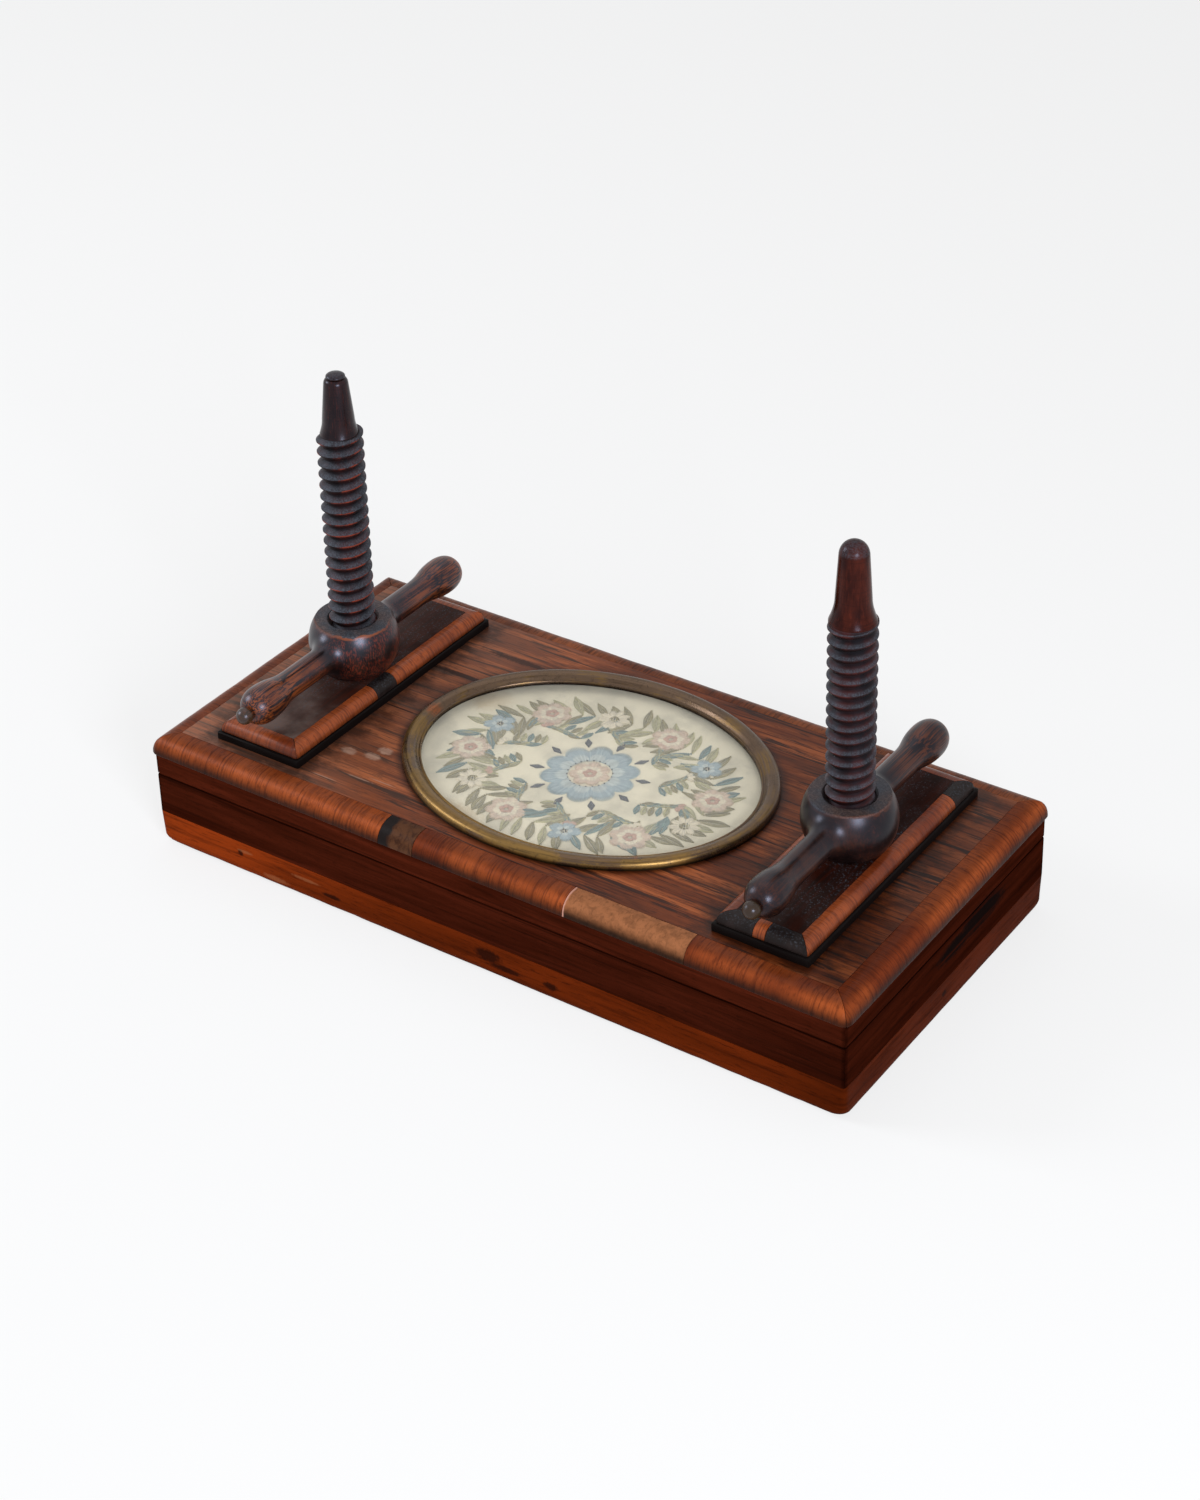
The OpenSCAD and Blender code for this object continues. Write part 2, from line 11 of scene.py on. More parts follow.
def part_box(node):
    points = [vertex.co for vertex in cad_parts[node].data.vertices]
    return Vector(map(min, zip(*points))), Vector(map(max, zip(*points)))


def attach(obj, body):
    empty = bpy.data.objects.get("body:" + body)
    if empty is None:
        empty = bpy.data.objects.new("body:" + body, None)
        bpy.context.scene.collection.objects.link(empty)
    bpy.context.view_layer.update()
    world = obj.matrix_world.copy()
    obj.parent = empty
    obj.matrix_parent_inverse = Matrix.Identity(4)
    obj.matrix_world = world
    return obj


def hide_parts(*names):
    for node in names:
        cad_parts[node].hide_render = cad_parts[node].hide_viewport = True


bl_info = {
    "name": "Playing card press",
    "version": (1, 0, 0),
    "blender": (4, 5, 0),
    "location": "View3D > Sidebar > Press",
    "description": "Builds the finished woods, turnings and oval panel of a playing card press on its frame",
    "category": "Object",
}

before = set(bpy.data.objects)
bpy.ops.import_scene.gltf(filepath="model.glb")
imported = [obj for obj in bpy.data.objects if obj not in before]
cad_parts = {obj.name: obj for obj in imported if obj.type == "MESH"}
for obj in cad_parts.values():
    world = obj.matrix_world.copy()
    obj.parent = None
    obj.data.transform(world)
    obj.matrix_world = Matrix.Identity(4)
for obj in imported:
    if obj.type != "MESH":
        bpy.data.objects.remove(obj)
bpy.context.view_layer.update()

MM = 0.001
TURN = 2 * math.pi
AXES = range(3)
AXIS_X, AXIS_Y, AXIS_Z = AXES
FRONT, RIGHT, BACK, LEFT = range(4)
SIDES = ("front", "right_end", "back", "left_end")
SIGN = {"left": -1, "right": 1}
MERGE_DIST = 1e-6
CUT_DIST = 1e-7
ROUND_STEPS = 64
THREAD_STEPS = 48
NUT_STEPS = 96
OVAL_STEPS = 128
BEZEL_STEPS = 192
LEVEL_NORMAL = 0.9

# Places taken from the frame


def box_of(name):
    """Lower and upper corner of a node's box."""
    return [Vector(corner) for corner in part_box(name)]


BASE_LOW, BASE_HIGH = box_of("bottom_board")
RAIL_LOW, RAIL_HIGH = box_of("front_rail")
LID_LOW, LID_HIGH = box_of("lid_board")
BAND_LOW, BAND_HIGH = box_of("front_band_left")
BEZEL_LOW, BEZEL_HIGH = box_of("oval_bezel")
GLASS_LOW, GLASS_HIGH = box_of("oval_glass")
SILK_LOW, SILK_HIGH = box_of("silk_panel")
PAD_LOW, PAD_HIGH = box_of("left_pad_board")
EDGING_Z = box_of("left_pad_front_edge")[0].z
NUT_LOW, NUT_HIGH = box_of("left_wing_nut")
POSTS = {side: box_of(f"{side}_post") for side in SIGN}
HALF_L, HALF_W = BASE_HIGH.xy
BAND_H = BAND_HIGH.z - BAND_LOW.z
BAND_PROUD = -BAND_LOW.y - HALF_W
POST_X = sum(corner.x for corner in POSTS["right"]) / 2
SHANK_R = (POSTS["right"][1].x - POSTS["right"][0].x) / 2
FRONT_MM = -HALF_W / MM
END_MM = HALF_L / MM
TOP_MM = LID_HIGH.z / MM


def srgb(*rgb):
    """Linear colour of an sRGB colour given in steps of 255."""
    return tuple(((c / 255 + 0.055) / 1.055) ** 2.4 if c > 10 else c / 255 / 12.92 for c in rgb)


def size(name, description, millimetres):
    return FloatProperty(name=name, description=description, default=millimetres * MM, min=0, unit="LENGTH",
                         precision=5)


def colour(name, description, *rgb):
    return FloatVectorProperty(name=name, description=description, default=srgb(*rgb), size=3, min=0, max=1,
                               subtype="COLOR")


# Sizes and colours that a user would change


class PressWoodwork(bpy.types.PropertyGroup):
    """Sizes of the boards, rails, bands and pads"""

    foot_round: size("Foot rounding", "Rounding of the bottom board's lower edges", 3.4)
    seam_round: size("Seam rounding", "Rounding of the arrises beside the seam", 0.7)
    corner_round: size("Corner rounding", "Worn rounding of the upright corners", 1.2)
    foot_corner_round: size("Foot corner rounding", "Worn rounding in plan of the foot's corners", 6)
    foot_corner_h: size("Foot corner height", "Height up to which the foot's corners are worn", 7)
    band_corner_round: size("Band corner rounding", "Worn rounding of the edge band's corners", 3.2)
    arris: size("Arris", "Softening of the small edges", 0.35)
    band_w: size("Band width", "Width of the lid's edge band", 7)
    band_r: size("Band round", "Radius of the lid's edge band", 6)
    edging_w: size("Edging width", "Width of a pad's edging", 5)
    edging_h: size("Edging height", "Height of a pad's edging", 4)
    edging_r: size("Edging round", "Radius of a pad's edging", 3.6)
    plinth_ledge: size("Plinth ledge", "Ledge of a pad's plinth outside the edging", 0.8)
    hole_clear: size("Hole gap", "Gap between a post's shank and its hole", 0.6)
    joint_gap: size("Joint gap", "Half of the dark line between two inlaid pieces", 0.05)
    wave: size("Wave", "Unevenness of old polished faces", 0.05)
    edge_wear: size("Edge wear", "Wear of the rounded edges", 0.5)
    slice_step: size("Slice", "Distance of the cuts along a bar", 2.5)


class PressTurning(bpy.types.PropertyGroup):
    """Sizes of the posts and the wing nuts"""

    thread_d: size("Thread diameter", "Outer diameter of the thread", 15.8)
    pitch: size("Pitch", "Distance from crest to crest", 4.25)
    depth: size("Thread depth", "Depth of the groove", 1.7)
    crest: size("Crest", "Width of the thread's crest", 0.6)
    root: size("Root", "Width of the thread's root", 0.5)
    start_h: size("Thread start", "Height of the thread's foot above the rails", 8.5)
    lead_in: size("Lead-in", "Plain stretch at the thread's foot", 0.63)
    left_tip_l: size("Left tip length", "Length of the left post's smooth tip above the thread", 22.1)
    right_tip_l: size("Right tip length", "Length of the right post's smooth tip above the thread", 27.6)
    tenon_d: size("Tenon", "Diameter of the tenon under a post", 12)
    left_foot_d: size("Left tip foot", "Diameter of the left tip's foot", 13)
    right_foot_d: size("Right tip foot", "Diameter of the right tip's foot", 15.2)
    left_waist_d: size("Left tip waist", "Diameter of the left tip above its flare", 10.8)
    right_waist_d: size("Right tip waist", "Diameter of the right tip above its flare", 11.4)
    left_flare_h: size("Left tip flare", "Height of the flare at the left tip's foot", 5.5)
    right_flare_h: size("Right tip flare", "Height of the flare at the right tip's foot", 8)
    left_tip_d: size("Left tip", "Diameter at the top of the left tip's taper", 8.2)
    shoulder_h: size("Shoulder", "Height of the left tip's rounded shoulder", 1.6)
    button_neck_d: size("Button neck", "Diameter of the groove under the left tip's button", 5.4)
    button_d: size("Button", "Diameter of the left tip's domed button", 6.5)
    button_h: size("Button height", "Height of the left tip's domed button", 1.9)
    button_edge_h: size("Button edge", "Height of the slope from the groove to the button's rim", 0.6)
    right_tip_d: size("Right tip", "Diameter at the foot of the right tip's dome", 9.6)
    dome_h: size("Dome", "Height of the right tip's dome", 5.2)
    bore_gap: size("Bore gap", "Gap between a nut's bore and the thread", 0.5)
    rim_w: size("Rim", "Width of the flat rim round a nut's bore", 4.6)
    axis_h: size("Handle axis", "Height of the handles' axis above a nut's lower flat", 10.5)
    neck_d: size("Neck", "Diameter of a handle's neck", 9.6)
    fillet_r: size("Fillet", "Radius of the hollow between a neck and the ball", 7.5)
    rim_soft: size("Rim softening", "Worn rounding of a nut's flat rims", 0.7)
    mouth_w: size("Mouth", "Width of the countersink round the bore", 0.5)
    bulb_d: size("Bulb", "Diameter of a handle's bulb", 13.2)
    bulb_reach: size("Bulb reach", "Distance from a nut's axis to where a bulb is widest", 49)
    swell_l: size("Swell", "Length over which a neck swells to its bulb", 15)
    bulb_end_l: size("Bulb end", "Length of the bulb's round end", 6.6)
    finial_d: size("Finial", "Diameter of the finial bead", 5.8)
    finial_neck_d: size("Finial neck", "Diameter of the groove behind the bead", 4.4)
    cap_d: size("Cap", "Diameter of the low cap on a back handle", 7.8)
    cap_h: size("Cap height", "Height of the low cap on a back handle", 2)


class PressPanel(bpy.types.PropertyGroup):
    """Sizes of the bezel, the silk and its stitches"""

    bezel_w: size("Bezel width", "Width of the brass bezel", 6.5)
    edge_h: size("Bezel edge", "Height of the bezel's upright outer edge", 0.75)
    round_w: size("Bezel rounding", "Width of the bezel's outer rounding", 2.1)
    crown_w: size("Crown", "Distance from the edge to where the inner slope steepens", 4)
    crown_h: size("Crown height", "Height where the inner slope steepens", 2.6)
    lip_h: size("Lip", "Height of the bezel's inner lip", 1)
    stitch_w: size("Stitch width", "Width of one silk stitch", 0.62)
    stitch_h: size("Stitch height", "Height of one silk stitch", 0.5)
    stitch_gap: size("Stitch spacing", "Distance from one stitch to the next", 0.5)


class PressColours(bpy.types.PropertyGroup):
    """Colours of the woods, the brass and the silks"""

    mahogany: colour("Mahogany", "Bottom board", 148, 57, 16)
    mahogany_dark: colour("Mahogany grain", "Pores and knots of the bottom board", 48, 15, 6)
    rosewood: colour("Rosewood", "Rails and sides of the lid", 58, 20, 9)
    rosewood_dark: colour("Rosewood figure", "Dark streaks of the rosewood", 30, 10, 5)
    rosewood_top: colour("Lid top", "Ground of the lid's top", 114, 53, 22)
    rosewood_light: colour("Rosewood light", "Light streaks of the lid's top", 158, 84, 44)
    crossband: colour("Edge band", "Cross-grain bands and edgings", 152, 73, 34)
    crossband_dark: colour("Edge band lines", "Fine lines across the bands", 72, 26, 9)
    pale_patch: colour("Pale patch", "Pale inlaid piece of the front band", 150, 95, 61)
    joint: colour("Open joint", "Chipped joint of the pale patch", 200, 146, 128)
    # Laid thinly over the lid top's left half, this colour is painted sheen.
    scuff_and_sheen: colour("Scuff", "Rubbed places of the lid's top", 172, 136, 116)
    ebonised: colour("Blackened wood", "Dark inlaid pieces and plinths", 21, 15, 14)
    # On the threads' upward flanks this grey also stands for painted sheen.
    dust: colour("Dust", "Grey dust in grooves and on fields", 77, 83, 91)
    # On the left pad this film is partly painted sheen.
    film: colour("Film", "Brown film of old polish on the pads", 118, 98, 90)
    turned: colour("Turned wood", "Nuts and posts", 22, 13, 12)
    turned_warm: colour("Turned wood, worn", "Brown places of the nuts", 44, 26, 19)
    thread_groove: colour("Groove", "Warm places of the threads", 54, 22, 19)
    left_tip: colour("Left tip", "Polished tip of the left post", 26, 12, 10)
    right_tip: colour("Right tip", "Polished tip of the right post", 54, 19, 9)
    turned_red: colour("Worn red", "Worn crests of the threads", 124, 50, 31)
    bead: colour("Bead", "Worn finial beads of the handles", 52, 39, 24)
    amber: colour("Amber", "Light streaks of the handles", 134, 68, 28)
    brass: colour("Brass", "Rubbed places of the bezel", 115, 88, 45)
    bronze: colour("Patina", "Tarnished places of the bezel", 86, 68, 53)
    silk: colour("Silk", "Ground of the oval panel", 224, 213, 184)
    leaf_olive: colour("Olive silk", "Leaves", 142, 130, 84)
    leaf_blue: colour("Blue-green silk", "Leaves and stems", 104, 126, 118)
    leaf_pale: colour("Pale green silk", "Leaves", 176, 168, 122)
    blossom: colour("Rose silk", "Outer petals", 204, 178, 152)
    blossom_deep: colour("Deep rose silk", "Inner petals and buds", 186, 146, 122)
    sky: colour("Blue silk", "Rosette and blue blossoms", 150, 165, 166)
    sky_pale: colour("Pale blue silk", "Inner blue petals", 184, 191, 184)
    ink: colour("Dark silk", "Small dark accents", 40, 42, 46)
    cream: colour("Cream silk", "Light petals", 222, 208, 178)
    baize: colour("Baize", "Linings of the card wells", 58, 92, 60)
    deal: colour("Deal", "Hidden blocks and divider", 196, 158, 108)
    floor: colour("Floor", "Pale floor", 235, 235, 235)


# Node trees


class Wire:
    """A value in a node tree that can be added, multiplied and stepped."""

    def __init__(self, tree, socket):
        self.tree = tree
        self.socket = socket

    def math(self, operation, other=0.0):
        return add(self.tree, "ShaderNodeMath", {0: self, 1: other}, operation=operation)

    def __add__(self, other):
        return self.math("ADD", other)

    def __sub__(self, other):
        return self.math("SUBTRACT", other)

    def __mul__(self, other):
        return self.math("MULTIPLY", other)

    def __abs__(self):
        return self.math("ABSOLUTE")

    def most(self, other):
        return self.math("MAXIMUM", other)

    def step(self, low, high, out_low=0.0, out_high=1.0):
        """Smooth step of the value from low to high."""
        inputs = {"Value": self, "From Min": low, "From Max": high, "To Min": out_low, "To Max": out_high}
        return add(self.tree, "ShaderNodeMapRange", inputs, interpolation_type="SMOOTHSTEP")

    def axis(self, axis):
        return add(self.tree, "ShaderNodeSeparateXYZ", {0: self}, axis)

    def length(self):
        return add(self.tree, "ShaderNodeVectorMath", {0: self}, "Value", operation="LENGTH")


def add(tree, kind, inputs=None, output=0, **settings):
    """An output of a new node; inputs are values or wires, by name or number."""
    made = tree.nodes.new(kind)
    for name, value in settings.items():
        setattr(made, name, value)
    for key, value in (inputs or {}).items():
        if isinstance(value, Wire):
            tree.links.new(value.socket, made.inputs[key])
        else:
            made.inputs[key].default_value = value
    return Wire(tree, made.outputs[output]) if made.outputs else None


def rgba(shade):
    return shade if isinstance(shade, Wire) else (*shade, 1)


def toned(shade, *shares):
    """A colour times one share, or times one for each channel."""
    return tuple(min(1, k * c) for k, c in zip(shares * (3 // len(shares)), shade))


def grain_size(axis, along, across):
    """Feature size of wood whose grain runs along an axis."""
    return tuple(along if k == axis else across for k in AXES)


COOL_SHEEN = (0.72, 0.78, 1, 1)
MIX_FIRST, MIX_SECOND, MIX_RESULT = 6, 7, 2
MARK_EDGE = (1.1, 1.8)
SHADER_SOCKETS = {
    "specular": "Specular IOR Level",
    "tint": "Specular Tint",
    "metallic": "Metallic",
    "alpha": "Alpha",
    "sheen": "Sheen Weight",
}


class Look:
    """A finish in the making, from base colour to shader; feature sizes and marks are in millimetres."""

    def __init__(self, tree):
        self.tree = tree
        self.tone = bpy.context.scene.press_colours
        self.place = add(tree, "ShaderNodeTexCoord", output="Object")
        self.base = None

    def axis(self, axis):
        return self.place.axis(axis)

    def upward(self):
        """How far a face looks up."""
        return add(self.tree, "ShaderNodeNewGeometry", output="Normal").axis(AXIS_Z)

    def mapped(self, scale, shift, place=None):
        inputs = {"Vector": place or self.place, "Scale": scale, "Location": shift}
        return add(self.tree, "ShaderNodeMapping", inputs)

    def joined(self, x, y):
        return add(self.tree, "ShaderNodeCombineXYZ", {0: x, 1: y})

    def radius(self, x):
        """Distance from an upright axis at x metres."""
        return self.mapped((1, 1, 0), (-x, 0, 0)).length()

    def cloud(self, grain, detail=4, rough=0.55, warp=0.0, shift=(0, 0, 0), place=None):
        """Noise whose features measure grain, one size or three, with its detail, roughness and warp."""
        lengths = grain if isinstance(grain, tuple) else (grain,) * 3
        spot = self.mapped(tuple(1 / (length * MM) for length in lengths), shift, place)
        settings = {"Vector": spot, "Scale": 1.0, "Detail": detail, "Roughness": rough, "Distortion": warp}
        return add(self.tree, "ShaderNodeTexNoise", settings, "Fac")

    def marks(self, *ovals):
        """Mask of oval marks with frayed edges, each given by its centre and its half sizes."""
        fray = self.cloud(1.2, detail=3) * 0.9
        total = None
        for centre, half in ovals:
            scale = tuple(1 / (h * MM) for h in half)
            shift = tuple(-c / h for c, h in zip(centre, half))
            mask = (self.mapped(scale, shift).length() + fray).step(*MARK_EDGE, 1, 0)
            total = total.most(mask) if total else mask
        return total

    def mix(self, factor, first, second, blend="MIX"):
        inputs = {0: factor, MIX_FIRST: rgba(first), MIX_SECOND: rgba(second)}
        return add(self.tree, "ShaderNodeMix", inputs, MIX_RESULT, data_type="RGBA", blend_type=blend)

    def ramp(self, factor, *stops):
        """Starts the base with a colour ramp; a stop is a place and a colour."""
        made = self.tree.nodes.new("ShaderNodeValToRGB")
        self.tree.links.new(factor.socket, made.inputs["Fac"])
        elements = made.color_ramp.elements
        while len(elements) < len(stops):
            elements.new(0.5)
        for element, (place, shade) in zip(elements, stops):
            element.position = place
            element.color = rgba(shade)
        self.base = Wire(self.tree, made.outputs["Color"])

    def lay(self, shade, mask):
        """Lays a colour over the base where a mask lets it."""
        self.base = self.mix(mask, self.base, shade)

    def darken(self, share):
        """Multiplies the base by a share."""
        grey = add(self.tree, "ShaderNodeCombineColor", {0: share, 1: share, 2: share})
        self.base = self.mix(1.0, self.base, grey, "MULTIPLY")

    def close(self, rough, relief=None, bump=0.2, deep=0.1, **constants):
        """Ends with the shader and its relief; what is the same all over goes on its own sockets."""
        settings = {"Base Color": rgba(self.base), "Roughness": rough}
        settings.update({SHADER_SOCKETS[name]: value for name, value in constants.items()})
        if relief is not None:
            inputs = {"Strength": bump, "Distance": deep * MM, "Height": relief}
            settings["Normal"] = add(self.tree, "ShaderNodeBump", inputs)
        shader = add(self.tree, "ShaderNodeBsdfPrincipled", settings)
        add(self.tree, "ShaderNodeOutputMaterial", {"Surface": shader})


def cleared(owner):
    """The emptied node tree of a material or world."""
    owner.use_nodes = True
    owner.node_tree.nodes.clear()
    return owner.node_tree


def material(name, build, **words):
    """The material of that name, built once by a function of its look."""
    label = f"press_{name}"
    made = bpy.data.materials.get(label)
    if made is None:
        made = bpy.data.materials.new(label)
        build(Look(cleared(made)), **words)
    return made


# Wood finishes


def mahogany_board(look):
    """Polished orange-brown mahogany with short dark pores, knots and pale scars; lighter at the left end
    partly by painted light, with painted shade at the right corner and the foot.
    """
    tone = look.tone
    broad = look.cloud((70, 40, 9), warp=0.6)
    streak = look.cloud((26, 26, 1.5), detail=5, rough=0.65, warp=0.5)
    pores = look.cloud((4.5, 4.5, 0.5), detail=2)
    x = look.axis(AXIS_X)
    look.ramp(broad, (0.34, toned(tone.mahogany, 0.6)), (0.6, tone.mahogany))
    look.lay(tone.mahogany_dark, streak.step(0.46, 0.72, 0, 0.5))
    look.lay(tone.mahogany_dark, pores.step(0.56, 0.72, 0, 0.5))
    # Partly the wood's own tone, partly painted light: lighter at the left end and darker to the middle;
    # painted shade darkens the right corner.
    look.darken(x.step(-130 * MM, 0, 0.85, 0.4) * x.step(85 * MM, 133 * MM, 1, 0.6))
    knots = look.marks(
        ((2.9, FRONT_MM, 8.2), (5, 4, 2.2)), ((10, FRONT_MM, 5.4), (6, 4, 1)),
        ((27.4, FRONT_MM, 6), (2.6, 4, 1.4)), ((-61, FRONT_MM, 5.8), (3.5, 4, 0.8)),
        ((END_MM, -2.7, 8.2), (4, 1.4, 1)), ((-100, FRONT_MM, 8.6), (1, 4, 1.2)))
    look.lay(tone.rosewood_dark, knots * 0.85)
    scars = look.marks(
        ((-85, FRONT_MM, 3.6), (5, 4, 1)), ((-72, FRONT_MM, 8.4), (5, 4, 0.6)),
        ((-98, FRONT_MM, 9.6), (3, 4, 0.6)))
    look.lay(tone.pale_patch, scars * 0.4)
    # Painted shade: darker towards the bottom of the rounded foot.
    look.darken(look.axis(AXIS_Z).step(0, 2.6 * MM, 0.3, 1))
    look.close(streak.step(0.3, 0.8, 0.3, 0.5), pores, specular=0.004)


def side_joints_and_painted_shade(look):
    """Painted shade in the seam under the lid and over the right end, dark corner joints and a lighter lid
    side.
    """
    x, y, z = (look.axis(axis) for axis in AXES)
    # Painted shade: a dark line in the seam groove under the lid, on upright faces.
    seam = abs(z - RAIL_HIGH.z).step(0.15 * MM, 0.5 * MM, 0.2, 1)
    seam = seam.most(abs(look.upward()).step(0.8, 0.98))
    lid_side = z.step(RAIL_HIGH.z, RAIL_HIGH.z + 0.2 * MM, 0.9, 1.2)
    out = HALF_L + HALF_W
    corner = (abs(x) + abs(y)).step(out - 2 * MM, out - 0.6 * MM, 1, 0.45)
    # Painted shade: the right end darker.
    right = x.step(HALF_L - 45 * MM, HALF_L - MM, 1, 0.72)
    return seam * lid_side * corner * right


def rosewood_sides(look, axis):
    """Dark polished rosewood with long black streaks and a burnt mark on the right end, darkened by painted
    shade in the seam and over the right end.
    """
    tone = look.tone
    figure = look.cloud(grain_size(axis, 80, 5), detail=5, rough=0.6, warp=0.9)
    streak = look.cloud(grain_size(axis, 50, 1.2), detail=5, rough=0.65, warp=0.25)
    pores = look.cloud(grain_size(axis, 4, 0.4), detail=2)
    wood = tone.rosewood
    look.ramp(figure, (0.3, toned(wood, 0.55)), (0.5, wood), (0.7, toned(wood, 1.6)))
    look.lay(tone.rosewood_dark, streak.step(0.48, 0.72, 0, 0.7))
    look.lay(tone.rosewood_dark, pores.step(0.56, 0.72, 0, 0.6))
    burnt = look.marks(((END_MM, 21, 24), (4, 14, 4.6)), ((END_MM, 4, 22.5), (4, 11, 3.2)))
    look.lay(tone.ebonised, burnt * streak.step(0.36, 0.54, 0.1, 0.95))
    # Painted shade at the seam and the right end, with the dark corner joints.
    look.darken(side_joints_and_painted_shade(look))
    look.close(streak.step(0.3, 0.8, 0.24, 0.46), pores, bump=0.15, specular=0.0)


def rail_look(axis):
    return material(f"rosewood_rail_{axis}", rosewood_sides, axis=axis)


def painted_shade_and_grime(look):
    """Painted shade on the lid's top beside the pads and the bezel, which rise from it, with old polish
    gathered there.
    """
    ragged = look.cloud((9, 5, 5), detail=5, rough=0.65)
    half = (PAD_HIGH - PAD_LOW) / 2
    x_off = abs(abs(look.axis(AXIS_X)) - POST_X) - half.x
    y_off = abs(look.axis(AXIS_Y)) - half.y
    away = look.joined(x_off.most(0.0), y_off.most(0.0)).length() + ragged.step(0.3, 0.7, 4 * MM, -4 * MM)
    span = (BEZEL_HIGH - BEZEL_LOW) / 2
    middle = (BEZEL_HIGH + BEZEL_LOW) / 2
    oval = look.mapped((1 / span.x, 1 / span.y, 0), (0, -middle.y / span.y, 0)).length()
    return away.step(0, 10 * MM, 0.3, 1) * oval.step(1, 1.05, 0.35, 1)


def rosewood_lid(look):
    """Figured top of the lid: orange-brown with dark streaks, rubbed, scratched and cracked, with painted
    sheen to the left and painted shade to the right and beside the pads and bezel.
    """
    tone = look.tone
    figure = look.cloud((110, 10, 12), detail=5, rough=0.6, warp=1.2)
    streak = look.cloud((60, 1.3, 1.3), detail=5, rough=0.7, warp=0.3)
    lines = look.cloud((34, 2, 2), detail=5, rough=0.65, warp=0.5, shift=(3, 5, 1))
    pores = look.cloud((5, 0.45, 0.45), detail=2)
    x = look.axis(AXIS_X)
    brown = toned(tone.rosewood_top, 0.5)
    look.ramp(figure, (0.34, brown), (0.48, tone.rosewood_top), (0.62, tone.rosewood_light))
    look.lay(tone.rosewood, streak.step(0.48, 0.64, 0, 0.8))
    look.lay(tone.rosewood_dark, lines.step(0.54, 0.62, 0, 0.9))
    look.lay(tone.rosewood_dark, pores.step(0.55, 0.7, 0, 0.6))
    # Painted shade: the top darker towards its right end.
    look.darken(x.step(60 * MM, 125 * MM, 1, 0.6))
    # Painted sheen: the pale scuff colour laid thinly over the left half, more towards the left end.
    look.lay(tone.scuff_and_sheen, x.step(0, -130 * MM, 0, 0.24))
    scuffs = look.marks(
        ((-73.7, -35.5, TOP_MM), (2.9, 1.7, 2)), ((-64.8, -34, TOP_MM), (3, 1.6, 2)),
        ((-63, -29.2, TOP_MM), (2.6, 1.7, 2)))
    look.lay(tone.scuff_and_sheen, scuffs * streak.step(0.4, 0.65, 0.85, 0.4))
    scratches = look.marks(
        ((-60.5, -46.4, TOP_MM), (5, 0.3, 2)), ((-52.5, -44.3, TOP_MM), (5, 0.25, 2)),
        ((-71, -51.8, TOP_MM), (5, 0.25, 2)), ((98, 60, TOP_MM), (9, 0.5, 2)))
    look.lay(tone.scuff_and_sheen, scratches * 0.5)
    cracks = look.marks(
        ((-74, -6, TOP_MM), (8, 0.35, 2)), ((-70, 22, TOP_MM), (11, 1.2, 2)),
        ((-58, 40, TOP_MM), (13, 1.4, 2)))
    look.lay(tone.rosewood_dark, cracks * 0.85)
    # Painted shade beside the pads and the bezel, with gathered polish.
    look.darken(painted_shade_and_grime(look))
    look.close(streak.step(0.3, 0.8, 0.3, 0.5), pores, bump=0.25, specular=0.13)


def cross_grain(look, axis, main, lines, shift, low, high, crown, gloss):
    """Cross-grain veneer: fine lines lie across a bar that runs along an axis; painted shade, with some
    gathered polish, darkens its foot, and its up-facing faces are darker by the crown share.
    """
    off = (shift,) * 3
    fine = look.cloud(grain_size(axis, 0.7, 22), detail=4, rough=0.65, warp=0.25, shift=off)
    bold = look.cloud(grain_size(axis, 2.6, 40), detail=3, warp=0.5, shift=off)
    broad = look.cloud(30, detail=3, shift=off)
    flake = look.cloud(grain_size(axis, 0.9, 2.6), detail=3, rough=0.6, shift=off)
    look.ramp(broad, (0.34, toned(main, 0.52, 0.42, 0.42)), (0.54, main), (0.7, toned(main, 1.2)))
    look.lay(lines, fine.step(0.46, 0.66, 0, 0.65))
    look.lay(lines, bold.step(0.54, 0.7, 0, 0.35))
    look.lay(lines, flake.step(0.5, 0.72, 0, 0.55))
    # Painted shade towards the foot; up-facing faces darker by the crown share.
    look.darken(look.axis(AXIS_Z).step(low, high, 0.12, 1) * look.upward().step(0.7, 0.98, 1, crown))
    look.close(fine.step(0.3, 0.8, 0.26, 0.44), fine, bump=0.12, specular=gloss)


def dusty_black(look):
    """Blackened wood with grey dust in its pores."""
    tone = look.tone
    patch = look.cloud(6, detail=5, rough=0.65)
    speck = look.cloud(0.6, detail=3)
    look.base = tone.ebonised
    look.lay(toned(tone.ebonised, 2.2), patch.step(0.35, 0.7))
    look.lay(tone.dust, speck.step(0.5, 0.72, 0, 0.4) * look.upward().step(0.2, 0.9))
    look.close(patch.step(0.3, 0.7, 0.3, 0.6), speck, specular=0.12)


def mended_patch(look, low_x):
    """Dark inlay of the front band: black at its left end, then mottled brown."""
    tone = look.tone
    mottle = look.cloud((2.2, 3.5, 3.5), detail=5, rough=0.65, warp=0.8)
    speck = look.cloud(0.6, detail=3)
    look.base = toned(tone.pale_patch, 0.26)
    look.lay(tone.rosewood_dark, mottle.step(0.42, 0.66, 0, 0.7))
    along = look.axis(AXIS_X) + mottle * (4 * MM)
    look.lay(tone.ebonised, along.step(low_x + 5.5 * MM, low_x + 7 * MM, 1, 0))
    look.close(speck.step(0.3, 0.7, 0.3, 0.5), speck, specular=0.08)


